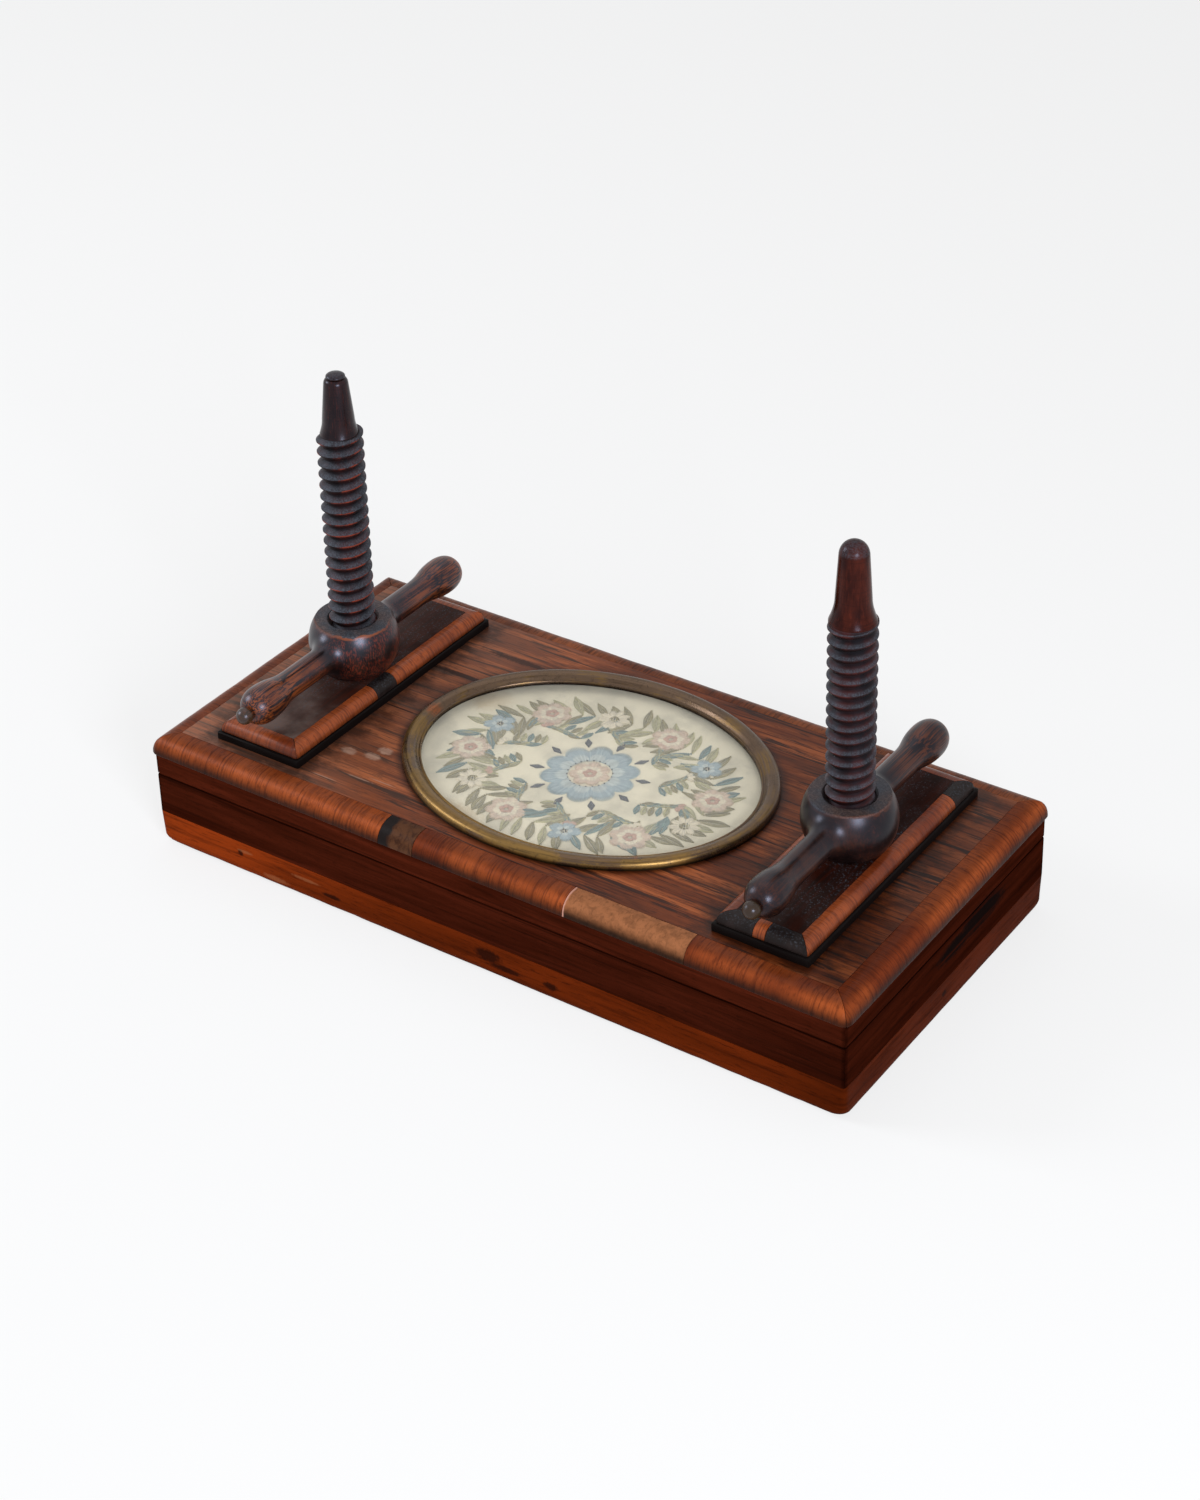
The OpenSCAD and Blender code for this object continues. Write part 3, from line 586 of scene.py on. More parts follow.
def pale_inlay(look, low_x):
    """Pale inlay of the front band: mottled tan with an open, chipped joint at its left end, and painted
    shade at its foot.
    """
    tone = look.tone
    mottle = look.cloud((3, 2.4, 2.4), detail=5, rough=0.65, warp=0.5)
    speck = look.cloud((0.6, 1.6, 1.6), detail=3)
    look.ramp(mottle, (0.34, toned(tone.pale_patch, 0.62)), (0.58, tone.pale_patch))
    look.lay(toned(tone.pale_patch, 0.4), speck.step(0.52, 0.7, 0, 0.5))
    # Painted shade towards the band's foot.
    look.darken(look.axis(AXIS_Z).step(BAND_LOW.z + 0.15 * BAND_H, BAND_LOW.z + 0.75 * BAND_H, 0.08, 1))
    along = look.axis(AXIS_X) + mottle * (0.8 * MM)
    look.lay(tone.joint, along.step(low_x + 0.8 * MM, low_x + 1.3 * MM, 0.75, 0))
    look.close(speck.step(0.3, 0.7, 0.34, 0.5), speck, bump=0.15, specular=0.06)


def pad_field(look):
    """Dark pad field, worn brown in streaks, with film and dust in patches; the film is partly painted sheen
    on the left pad, and painted shade darkens the right pad.
    """
    tone = look.tone
    streak = look.cloud((1.6, 34, 1.6), detail=5, rough=0.65, warp=0.4)
    speck = look.cloud(0.5, detail=2)
    patch = look.cloud(16)
    left = look.axis(AXIS_X).step(-POST_X, POST_X, 1, 0.15)
    front = look.axis(AXIS_Y).step(-12 * MM, -40 * MM, 0.15, 1)
    look.base = tone.ebonised
    look.lay(tone.rosewood, streak.step(0.4, 0.66, 0.3, 0.9))
    # Old polish film, partly painted sheen, laid mostly on the left pad and towards its front.
    look.lay(tone.film, patch.step(0.36, 0.62, 0.2, 0.8) * left * front)
    # Painted shade: the right pad darker, where its nut shades it.
    look.darken(left.step(0.15, 1, 0.6, 1))
    look.lay(tone.dust, speck.step(0.56, 0.7, 0, 0.7) * patch.step(0.38, 0.6))
    plinth = look.axis(AXIS_Z).step(PAD_HIGH.z - 1.2 * MM, PAD_HIGH.z - 0.6 * MM, 1, 0)
    look.lay(toned(tone.ebonised, 0.5), plinth)
    look.close(patch.step(0.3, 0.7, 0.34, 0.55), speck, bump=0.12, specular=0.05)


def threaded_wood(look, x, red, dust_and_sheen, inner_dust, gloss):
    """Thread of a post: thin worn crests, upper flanks with dust and painted sheen, and grooves darkened by
    painted shade.
    """
    tone = look.tone
    turning = bpy.context.scene.press_turning
    streak = look.cloud((0.6, 0.6, 9), detail=3, rough=0.6)
    patch = look.cloud((6, 6, 12), detail=4, rough=0.6)
    speck = look.cloud(0.4, detail=3, rough=0.7)
    crest_r = turning.thread_d / 2
    root_r = crest_r - turning.depth
    thread_low = RAIL_HIGH.z + turning.start_h
    radius = look.radius(x)
    frayed = radius + patch.step(0.3, 0.7, -0.2 * MM, 0.05 * MM)
    worn = frayed.step(crest_r - 0.14 * MM, crest_r - 0.02 * MM)
    worn = worn * look.axis(AXIS_Z).step(thread_low, thread_low + MM)
    look.base = tone.turned
    look.lay(tone.thread_groove, patch.step(0.35, 0.65))
    grain = speck.step(0.32, 0.66, 0.2, 1) * streak.step(0.35, 0.6, 0.45, 1)
    reach = radius.step(root_r + 0.3 * turning.depth, root_r + 0.75 * turning.depth, inner_dust, 1)
    # Dust and painted sheen on the upward flanks.
    look.lay(tone.dust, look.upward().step(0.05, 0.6) * grain * reach * dust_and_sheen)
    # Painted shade in the grooves.
    look.darken(radius.step(root_r, root_r + 0.5 * turning.depth, 0.25, 1))
    look.lay(tone.turned_red, worn * red)
    look.close(worn.step(0, 1, 0.52, 0.3), speck, bump=0.08, specular=gloss, tint=COOL_SHEEN)


def glossy_tip(look, shade, dusty_above, gloss):
    """Polished tip of a post, with faint turning lines and dust on its crown."""
    rings = look.cloud((30, 30, 0.5), detail=3, rough=0.6)
    patch = look.cloud((4, 4, 14))
    speck = look.cloud(0.5, detail=3, rough=0.7)
    fine = look.cloud((0.5, 0.5, 7), detail=4, rough=0.6)
    dark = toned(shade, 0.5)
    look.ramp(patch, (0.36, dark), (0.5, shade), (0.64, toned(shade, 1.5)))
    look.lay(look.tone.turned_red, fine.step(0.5, 0.7, 0, 0.12))
    look.lay(dark, rings.step(0.48, 0.66, 0, 0.5))
    crown = look.axis(AXIS_Z).step(dusty_above, dusty_above + MM, 0, 0.4)
    look.lay(look.tone.dust, crown * speck.step(0.3, 0.7))
    look.close(patch.step(0.3, 0.7, 0.18, 0.26), specular=gloss, tint=COOL_SHEEN)


def turned_nut(look, x, near, far, worn_rim, dust, gloss):
    """Dark glossy turning with amber figure on its handles, an olive bead and a worn rim."""
    tone = look.tone
    turning = bpy.context.scene.press_turning
    lines = look.cloud((0.5, 26, 0.5), detail=3, rough=0.5, warp=0.12)
    bands = look.cloud((5, 24, 5), detail=3, warp=0.3, shift=(x, 0, 2))
    patch = look.cloud(9, detail=4, rough=0.6)
    crackle = look.cloud((0.5, 0.5, 1.6), detail=3, rough=0.6)
    speck = look.cloud(0.5, detail=2)
    y = look.axis(AXIS_Y)
    z = look.axis(AXIS_Z)
    look.ramp(patch, (0.34, toned(tone.turned, 0.5)), (0.5, tone.turned), (0.66, tone.turned_warm))
    right = look.axis(AXIS_X).step(x - 2 * MM, x + 9 * MM, 0.25, 1)
    flecks = crackle.step(0.48, 0.62, 0, 0.8) * patch.step(0.38, 0.56)
    look.lay(toned(tone.turned_red, 0.75), flecks * right * near)
    handle = abs(y).step(17 * MM, 32 * MM) * y.step(10 * MM, -10 * MM, far, near)
    figure = look.mix(lines.step(0.42, 0.56), tone.amber, tone.turned)
    look.lay(figure, bands.step(0.36, 0.6, 0.3, 0.85) * handle)
    look.lay(tone.bead, y.step(NUT_LOW.y + 4.2 * MM, NUT_LOW.y + 3.6 * MM) * 0.8)
    cap = y.step(NUT_HIGH.y - 4.6 * MM, NUT_HIGH.y - 3.4 * MM) * patch.step(0.4, 0.55, 0.15, 0.9)
    look.lay(tone.amber, cap * far)
    top = NUT_HIGH.z
    flat = z.step(top - 0.7 * MM, top - 0.3 * MM)
    powder = look.mix(patch.step(0.35, 0.65), tone.dust, tone.film)
    look.lay(look.mix(speck.step(0.35, 0.7, 0.15, 0.6), tone.ebonised, powder), flat * dust)
    rim_r = turning.thread_d / 2 + turning.bore_gap + turning.rim_w
    frayed = look.radius(x) + patch.step(0.3, 0.7, -0.6 * MM, 0.6 * MM)
    ring = frayed.step(rim_r - 0.1 * MM, rim_r + 0.1 * MM)
    ring = ring * frayed.step(rim_r + 0.4 * MM, rim_r + 0.8 * MM, 1, 0)
    front = z.step(top - 1.6 * MM, top - 0.9 * MM) * y.step(8 * MM, -6 * MM) * right
    look.lay(tone.amber, ring * front * worn_rim)
    rough = patch.step(0.3, 0.7, 0.28, 0.36) + flat * (0.4 * dust)
    look.close(rough, specular=gloss, tint=COOL_SHEEN)


def plain_deal(look):
    """Pale softwood of the hidden blocks."""
    rings = look.cloud((3.4, 70, 6), warp=0.4)
    look.ramp(rings, (0.35, look.tone.deal), (0.62, toned(look.tone.deal, 0.6)))
    look.close(rings.step(0.3, 0.7, 0.6, 0.8), rings, bump=0.15)


# Other finishes


def old_brass(look):
    """Tarnished brass: brown behind, golden in front, with copper spots, fine lines along it and painted
    shade at its foot.
    """
    tone = look.tone
    patch = look.cloud(14, detail=5, rough=0.65)
    fine = look.cloud(1.2, detail=4, rough=0.65)
    across = look.axis(AXIS_X)
    along = look.axis(AXIS_Y)
    span = (BEZEL_HIGH - BEZEL_LOW) / 2
    reach = look.joined(across * (1 / span.x), along * (1 / span.y)).length()
    angle = (along * (span.x / span.y)).math("ARCTAN2", across)
    brushed = look.cloud((250, 8, 1000), detail=4, rough=0.6, place=look.joined(angle, reach))
    gold = along.step(20 * MM, -45 * MM) * 0.6 + patch.step(0.35, 0.65, -0.3, 0.4)
    look.base = tone.bronze
    look.lay(tone.brass, (gold + brushed.step(0.3, 0.7, -0.45, 0.45)).step(0.1, 0.8))
    copper = look.marks(
        ((-63, -3, TOP_MM), (2.4, 3.5, 4)), ((-54, 31, TOP_MM), (3, 2, 4)),
        ((42.5, -37, TOP_MM), (1.4, 2, 4)))
    look.lay(tone.amber, copper * 0.6)
    dark = toned(tone.bronze, 0.3)
    look.lay(dark, brushed.step(0.52, 0.68, 0, 0.6))
    look.lay(dark, fine.step(0.54, 0.7, 0, 0.5))
    # Painted shade at the bezel's foot.
    look.darken(look.axis(AXIS_Z).step(BEZEL_LOW.z + 0.3 * MM, BEZEL_LOW.z + 1.3 * MM, 0.15, 1))
    look.close(patch.step(0.3, 0.7, 0.2, 0.42), fine, bump=0.1, metallic=0.75, specular=0.4)


def window_glass(look):
    """Thin clear glass."""
    look.base = (0.93, 0.95, 0.93)
    look.close(look.cloud(18, detail=3).step(0.3, 0.7, 0.03, 0.09), alpha=0.07, specular=0.5)


def aged_silk(look):
    """Cream silk with a fine weave, faint stains and two damp marks."""
    silk = look.tone.silk
    stain = look.cloud(14, detail=5, rough=0.6)
    weave = look.cloud((0.35, 9, 9), detail=1) * 0.5 + look.cloud((9, 0.35, 9), detail=1) * 0.5
    tan = toned(silk, 0.72)
    look.ramp(stain, (0.32, tan), (0.55, silk))
    damp = look.marks(((-56, 18, TOP_MM), (9, 7, 9)), ((-26, -43, TOP_MM), (12, 6, 9)))
    look.lay(toned(silk, 0.74, 0.6, 0.42), damp * stain.step(0.35, 0.6, 0.8, 0.4))
    look.lay(tan, weave.step(0.5, 0.7, 0, 0.12))
    look.close(weave.step(0.3, 0.7, 0.6, 0.75), weave, bump=0.25, sheen=0.15)


def silk_thread(look):
    """Silk stitches that take the colour stored on each of them."""
    twist = look.cloud(0.3, detail=2)
    look.ramp(twist, (0.3, (0.8,) * 3), (0.7, (1,) * 3))
    stored = add(look.tree, "ShaderNodeAttribute", output="Color", attribute_name="silk")
    look.base = look.mix(1.0, stored, look.base, "MULTIPLY")
    look.close(twist.step(0.3, 0.7, 0.4, 0.6), twist, sheen=0.3)


def felted_baize(look):
    """Green baize with a short nap."""
    baize = look.tone.baize
    nap = look.cloud(0.5, detail=4, rough=0.7)
    wear = look.cloud(22, detail=3)
    look.base = baize
    look.lay(toned(baize, 1.6), wear.step(0.4, 0.75, 0, 0.7))
    look.lay(toned(baize, 0.5), nap.step(0.4, 0.7, 0, 0.5))
    look.close(nap.step(0.3, 0.7, 0.85, 1), nap, bump=0.5, deep=0.3, specular=0.05, sheen=0.08)


def grey_board(look):
    """Millboard behind the silk."""
    fibre = look.cloud(0.9)
    look.base = look.tone.pale_patch
    look.lay(look.tone.dust, fibre.step(0.35, 0.7))
    look.close(fibre.step(0.3, 0.7, 0.8, 0.95), fibre, bump=0.3)


# Meshes


def all_of(bm):
    return bm.verts[:] + bm.edges[:] + bm.faces[:]


def only(items, kind):
    return [item for item in items if isinstance(item, kind)]


def move(bm, vec):
    bmesh.ops.translate(bm, verts=bm.verts[:], vec=vec)


def new_object(name, data):
    made = bpy.data.objects.new(name, data)
    bpy.context.scene.collection.objects.link(made)
    return made


def box(low, high):
    bm = bmesh.new()
    place = Matrix.Translation((low + high) / 2) @ Matrix.Diagonal((*(high - low), 1))
    bmesh.ops.create_cube(bm, size=1, matrix=place)
    return bm


def soften(bm, edges, width, segments):
    bmesh.ops.bevel(bm, geom=edges, offset=width, offset_type="OFFSET", affect="EDGES", segments=segments,
                    profile=0.5, material=-1, clamp_overlap=True)


def edges_at(bm, height):
    """Edges that lie wholly at a height."""
    return [e for e in bm.edges if all(abs(v.co.z - height) < MERGE_DIST for v in e.verts)]


def cut_at(bm, point, normal, clear=False):
    """Edges of a cut along a plane, which may clear what lies beyond it."""
    cut = bmesh.ops.bisect_plane(bm, geom=all_of(bm), dist=CUT_DIST, plane_co=point, plane_no=normal,
                                 clear_outer=clear)
    return only(cut["geom_cut"], bmesh.types.BMEdge)


def slices(bm, axis, start, end, worn_half=0.0, reach=4 * MM, count=6):
    """Cuts across an axis, evenly apart, and closer by the worn ends of a bar of that half length."""
    steps = max(1, round((end - start) / bpy.context.scene.press_woodwork.slice_step))
    places = [start + (end - start) * i / steps for i in range(1, steps)]
    if worn_half:
        places += [s * (worn_half - reach * i / count) for s in (-1, 1) for i in range(1, count + 1)]
    normal = Vector((0, 0, 0))
    normal[axis] = 1
    for place in places:
        cut_at(bm, normal * place, normal)


def grid_cuts(bm, low, high, worn_ends=False):
    """Cuts a board both ways in plan, so that it can wear."""
    for axis in (AXIS_X, AXIS_Y):
        slices(bm, axis, low[axis], high[axis], high[axis] if worn_ends else 0.0)


def round_plan(verts, half, radius):
    """Wears the upright corners of a rectangle round in plan."""
    for vert in verts:
        over = Vector([abs(vert.co[k]) - half[k] + radius for k in (AXIS_X, AXIS_Y)])
        if min(over) > 0:
            over = over.normalized() * max(over)
            for k in (AXIS_X, AXIS_Y):
                vert.co[k] = math.copysign(half[k] - radius + over[k], vert.co[k])


def weather(bm, seed, waves=1, slow_size=16 * MM, quick_size=5 * MM):
    """Sinks faces a little unevenly and rounded edges more, as age does."""
    wood = bpy.context.scene.press_woodwork
    bm.normal_update()
    shift = Vector((seed, 2 * seed, 3 * seed))
    moves = []
    for vert in bm.verts:
        edge = 1 - max(abs(c) for c in vert.normal)
        slow = 0.5 + 0.5 * noise.noise(vert.co / slow_size + shift)
        quick = max(0, noise.noise(vert.co / quick_size + shift) + 0.1)
        moves.append(vert.normal * (waves * wood.wave * slow + wood.edge_wear * edge * quick))
    for vert, sunk in zip(bm.verts, moves):
        vert.co -= sunk


def piece(name, bm, look, body, node=None, sharp=32, outward=True):
    """Makes a finished object of a bmesh, rides it and lets it stand for its node."""
    bmesh.ops.remove_doubles(bm, verts=bm.verts[:], dist=MERGE_DIST)
    if outward:
        bmesh.ops.recalc_face_normals(bm, faces=bm.faces[:])
    mesh = bpy.data.meshes.new(name)
    bm.to_mesh(mesh)
    bm.free()
    mesh.shade_smooth()
    mesh.set_sharp_from_angle(angle=math.radians(sharp))
    mesh.materials.append(look)
    made = new_object(name, mesh)
    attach(made, body)
    if node:
        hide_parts(node)
    return made


def paint_node(name, look):
    """Gives a CAD node that shows as it is another material."""
    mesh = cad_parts[name].data
    mesh.materials.clear()
    mesh.materials.append(look)


def rounded_section(bm, wide, high, rounds):
    """Face in the YZ plane with rounded corners; Y goes inwards from the outer side."""
    places = {"outer_low": (0, 0, 0), "inner_low": (0, wide, 0), "inner_high": (0, wide, high),
              "outer_high": (0, 0, high)}
    made = {name: bm.verts.new(place) for name, place in places.items()}
    bm.faces.new(made.values())
    for name, radius in rounds.items():
        bmesh.ops.bevel(bm, geom=[made[name]], offset=radius, offset_type="OFFSET", affect="VERTICES",
                        segments=8, profile=0.5, material=-1)


def axis_of(side):
    """Axis that a side runs along: X in front and behind, Y at the ends."""
    return AXIS_X if side in (FRONT, BACK) else AXIS_Y


def bar(side, half, section, z, worn, start=None, end=None, middle=Vector()):
    """Bar of a mitred frame with worn corners: its section runs along a side, whole or between two places."""
    gap = bpy.context.scene.press_woodwork.joint_gap
    run, reach = half[axis_of(side)], half[1 - axis_of(side)]
    begin = -run if start is None else start
    stop = run if end is None else end
    bm = bmesh.new()
    rounded_section(bm, *section)
    first = bm.verts[:]
    drawn = bmesh.ops.extrude_face_region(bm, geom=bm.faces[:])["geom"]
    for vert in first:
        vert.co.x = begin + gap + (vert.co.y if start is None else 0)
    for vert in only(drawn, bmesh.types.BMVert):
        vert.co.x = stop - gap - (vert.co.y if end is None else 0)
    slices(bm, AXIS_X, begin, stop, run)
    move(bm, (0, -reach, z))
    bmesh.ops.transform(bm, matrix=Matrix.Rotation(side * TURN / 4, 4, "Z"), verts=bm.verts[:])
    round_plan(bm.verts, half, worn)
    move(bm, middle)
    return bm


def cut_out(bm, cutter):
    """The bmesh less another one."""
    pair = []
    for name, source in (("cut_board", bm), ("cut_tool", cutter)):
        mesh = bpy.data.meshes.new(name)
        bmesh.ops.recalc_face_normals(source, faces=source.faces[:])
        source.to_mesh(mesh)
        source.free()
        pair.append(new_object(name, mesh))
    board, tool = pair
    carve = board.modifiers.new("carve", "BOOLEAN")
    carve.operation = "DIFFERENCE"
    carve.solver = "EXACT"
    carve.object = tool
    result = bmesh.new()
    result.from_object(board, bpy.context.evaluated_depsgraph_get())
    for made in pair:
        mesh = made.data
        bpy.data.objects.remove(made)
        bpy.data.meshes.remove(mesh)
    return result


def rod(bm, x, radius, low, high, steps=ROUND_STEPS):
    """Upright closed cylinder."""
    bmesh.ops.create_cone(bm, cap_ends=True, segments=steps, radius1=radius, radius2=radius, depth=high - low,
                          matrix=Matrix.Translation((x, 0, (low + high) / 2)))


def bored(bm, sides, radius, low, high):
    """The bmesh less a round hole at the posts of those sides."""
    tool = bmesh.new()
    for side in sides:
        rod(tool, SIGN[side] * POST_X, radius, low, high)
    return cut_out(bm, tool)


def oval_disc(low, high, bottom, top, play=0.0):
    """Disc whose plan is the oval in a box."""
    bm = bmesh.new()
    rod(bm, 0, 0.5, bottom, top, OVAL_STEPS)
    span = high - low
    middle = (low + high) / 2
    bmesh.ops.scale(bm, verts=bm.verts[:], vec=(span.x + play, span.y + play, 1))
    move(bm, (middle.x, middle.y, 0))
    return bm


def stepped_board(low, high, step_z, step_w):
    """Board whose upper part stands in from its lower part all round."""
    bm = box(low, Vector((high.x, high.y, step_z)))
    top = [face for face in bm.faces if face.normal.z > LEVEL_NORMAL]
    bmesh.ops.inset_region(bm, faces=top, thickness=step_w, use_even_offset=True)
    raised = bmesh.ops.extrude_face_region(bm, geom=top + [e for face in top for e in face.edges])["geom"]
    lifted = only(raised, bmesh.types.BMVert)
    bmesh.ops.translate(bm, verts=lifted, vec=(0, 0, high.z - step_z))
    return bm


def bend(line, lean, end_lean, end, count=8):
    """Carries a line of points in the plane on along a Bezier curve."""
    pull = (line[-1], lean, end_lean, end)
    for i in range(1, count + 1):
        t = i / count
        weights = ((1 - t) ** 3, 3 * t * (1 - t) ** 2, 3 * t * t * (1 - t), t ** 3)
        line.append(tuple(sum(w * point[k] for w, point in zip(weights, pull)) for k in (0, 1)))


def profile_line(bm, profile, x):
    """Chain of edges through points of radius and height beside an upright axis."""
    verts = [bm.verts.new((x + r, 0, z)) for r, z in profile]
    return verts + [bm.edges.new(pair) for pair in zip(verts, verts[1:])]


def turned(bm, profile, x=0.0, steps=ROUND_STEPS):
    """Solid of revolution about an upright axis."""
    bmesh.ops.spin(bm, geom=profile_line(bm, profile, x), cent=(x, 0, 0), axis=(0, 0, 1), angle=TURN,
                   steps=steps, use_merge=True)


# Base


class PRESS_OT_base(bpy.types.Operator):
    """Bottom board and the four rails on it"""

    bl_idname = "press.base"
    bl_label = "Base"

    def execute(self, context):
        wood = context.scene.press_woodwork
        self.bottom_board(wood, context.scene.press_turning.tenon_d / 2 + wood.joint_gap)
        section = (*(RAIL_HIGH - RAIL_LOW).yz, {"outer_high": wood.seam_round, "outer_low": wood.arris / 2})
        for side, name in enumerate(SIDES):
            bm = bar(side, (HALF_L, HALF_W), section, RAIL_LOW.z, wood.corner_round)
            weather(bm, seed=2 + side)
            piece(f"{name}_rail_wood", bm, rail_look(axis_of(side)), "base", f"{name}_rail")
        return {"FINISHED"}

    def bottom_board(self, wood, socket_r):
        bm = box(BASE_LOW, BASE_HIGH)
        soften(bm, edges_at(bm, BASE_LOW.z), wood.foot_round, segments=6)
        grid_cuts(bm, BASE_LOW, BASE_HIGH, worn_ends=True)
        for vert in bm.verts:
            sunk = max(0, wood.foot_round - vert.co.z)
            inset = wood.foot_round - math.sqrt(wood.foot_round ** 2 - sunk ** 2)
            worn = max(0, 1 - vert.co.z / wood.foot_corner_h) ** 2
            radius = wood.corner_round + (wood.foot_corner_round - wood.corner_round) * worn
            round_plan([vert], (HALF_L - inset, HALF_W - inset), radius)
        weather(bm, seed=1)
        bm = bored(bm, SIGN, socket_r, POSTS["left"][0].z, 2 * BASE_HIGH.z)
        piece("mahogany_bottom", bm, material("mahogany", mahogany_board), "base", "bottom_board")


class PRESS_OT_card_wells(bpy.types.Operator):
    """Blocks, divider and baize of the card wells, and the baize under the lid"""

    bl_idname = "press.card_wells"
    bl_label = "Card wells"

    def execute(self, context):
        for name in ("left_post_block", "right_post_block", "centre_divider"):
            paint_node(name, material("deal", plain_deal))
        for place, body, under in (("well", "base", "bottom_board"), ("lid", "lid", "lid_board")):
            for side in SIGN:
                self.lining(context.scene.press_woodwork, f"{side}_{place}_baize", body, under)
        return {"FINISHED"}

    def lining(self, wood, name, body, under):
        low, high = box_of(name)
        bm = box(low, high)
        soften(bm, bm.edges[:], wood.arris, segments=2)
        grid_cuts(bm, low, high)
        weather(bm, seed=7, waves=2)
        made = piece(f"{name}_cloth", bm, material("baize", felted_baize), body, name)


# Posts


def threaded_rod(sizes, x, low, high, grow=0.0):
    """Closed rod with a right-hand thread; its crests keep one height for posts and bores alike."""
    radius = sizes.thread_d / 2 + grow
    root = radius - sizes.depth
    flank = (sizes.pitch - sizes.crest - sizes.root) / 2
    soft = sizes.crest / 4
    crest_z = RAIL_HIGH.z + sizes.start_h + sizes.lead_in
    start = crest_z + sizes.pitch * (math.floor((low - crest_z) / sizes.pitch) - 1)
    tooth = [
        (radius - soft, 0), (radius, soft), (radius, sizes.crest - soft), (radius - soft, sizes.crest),
        (root, sizes.crest + flank), (root, sizes.crest + flank + sizes.root), (radius - soft, sizes.pitch),
    ]
    one = bmesh.new()
    line = profile_line(one, [(r, start + z) for r, z in tooth], x)
    bmesh.ops.spin(one, geom=line, cent=(x, 0, 0), axis=(0, 0, 1), angle=TURN,
                   dvec=(0, 0, sizes.pitch / THREAD_STEPS), steps=THREAD_STEPS)
    mesh = bpy.data.meshes.new("thread")
    bm = bmesh.new()
    for _ in range(math.ceil((high - start) / sizes.pitch) + 1):
        one.to_mesh(mesh)
        bm.from_mesh(mesh)
        move(one, (0, 0, sizes.pitch))
    one.free()
    bpy.data.meshes.remove(mesh)
    bmesh.ops.remove_doubles(bm, verts=bm.verts[:], dist=MERGE_DIST)
    for height, way in ((low, -1), (high, 1)):
        cut_at(bm, (x, 0, height), (0, 0, way), clear=True)
    bmesh.ops.holes_fill(bm, edges=[edge for edge in bm.edges if edge.is_boundary], sides=0)
    return bm


class PRESS_OT_posts(bpy.types.Operator):
    """Two turned screw posts with smooth tips"""

    bl_idname = "press.posts"
    bl_label = "Posts"

    def execute(self, context):
        turning = context.scene.press_turning
        tone = context.scene.press_colours
        for side, tip, tip_l, crown, polish, wear in (
            ("left", self.left_tip, turning.left_tip_l, turning.button_h,
             {"shade": tone.left_tip, "gloss": 0.22},
             {"red": 0.8, "dust_and_sheen": 0.9, "inner_dust": 0.75, "gloss": 0.14}),
            ("right", self.right_tip, turning.right_tip_l, 0.85 * turning.dome_h,
             {"shade": tone.right_tip, "gloss": 0.1},
             {"red": 0.12, "dust_and_sheen": 0.7, "inner_dust": 0.0, "gloss": 0.16}),
        ):
            x = SIGN[side] * POST_X
            low, top = (corner.z for corner in POSTS[side])
            foot = RAIL_HIGH.z + turning.start_h
            thread_top = top - tip_l
            bm = threaded_rod(turning, x, foot, thread_top)
            turned(bm, self.shank(turning.tenon_d / 2, low, foot), x)
            turned(bm, tip(turning, thread_top, top), x)
            look = material(f"{side}_post_wood", threaded_wood, x=x, **wear)
            made = piece(f"{side}_screw_post", bm, look, "base", f"{side}_post", sharp=40)
            tip_look = material(f"{side}_tip_wood", glossy_tip, dusty_above=top - crown, **polish)
            made.data.materials.append(tip_look)
            for face in made.data.polygons:
                face.material_index = int(face.center.z > thread_top)
        return {"FINISHED"}

    def shank(self, tenon, low, foot, soft=0.4 * MM):
        """Outline of the tenon and the plain shank up to the thread's foot."""
        return [(0, low), (tenon, low), (tenon, BASE_HIGH.z), (SHANK_R, BASE_HIGH.z), (SHANK_R, foot - soft),
                (SHANK_R - soft, foot), (0, foot)]

    def taper(self, thread_top, foot_d, flare_h, waist_d):
        """Foot and concave flare of a tip."""
        foot = foot_d / 2
        waist = waist_d / 2
        line = [(0, thread_top - MM), (foot, thread_top - MM), (foot, thread_top)]
        bend(line, (waist + 0.45 * (foot - waist), thread_top + 0.3 * flare_h),
             (waist + 0.02 * (foot - waist), thread_top + 0.65 * flare_h), (waist, thread_top + flare_h),
             count=12)
        return line

    def left_tip(self, turning, thread_top, top):
        """Left tip: taper, round shoulder, groove and a domed button."""
        end = turning.left_tip_d / 2
        neck = turning.button_neck_d / 2
        rim = turning.button_d / 2
        groove_z = top - turning.button_h
        shoulder_z = groove_z - turning.shoulder_h
        rim_z = groove_z + turning.button_edge_h
        line = self.taper(thread_top, turning.left_foot_d, turning.left_flare_h, turning.left_waist_d)
        line.append((end, shoulder_z))
        bend(line, (end - 0.2 * MM, shoulder_z + 0.6 * turning.shoulder_h), (neck + 0.7 * MM, groove_z),
             (neck, groove_z))
        bend(line, (neck + 0.3 * MM, groove_z), (rim, rim_z - 0.3 * MM), (rim, rim_z), count=5)
        bend(line, (rim, rim_z + 0.5 * (top - rim_z)), (0.55 * rim, top), (0, top), count=10)
        return line

    def right_tip(self, turning, thread_top, top):
        """Right tip: taper and a round dome."""
        end = turning.right_tip_d / 2
        neck_z = top - turning.dome_h
        line = self.taper(thread_top, turning.right_foot_d, turning.right_flare_h, turning.right_waist_d)
        line.append((end, neck_z))
        bend(line, (end, neck_z + 0.6 * turning.dome_h), (0.55 * end, top), (0, top), count=12)
        return line


# Lid


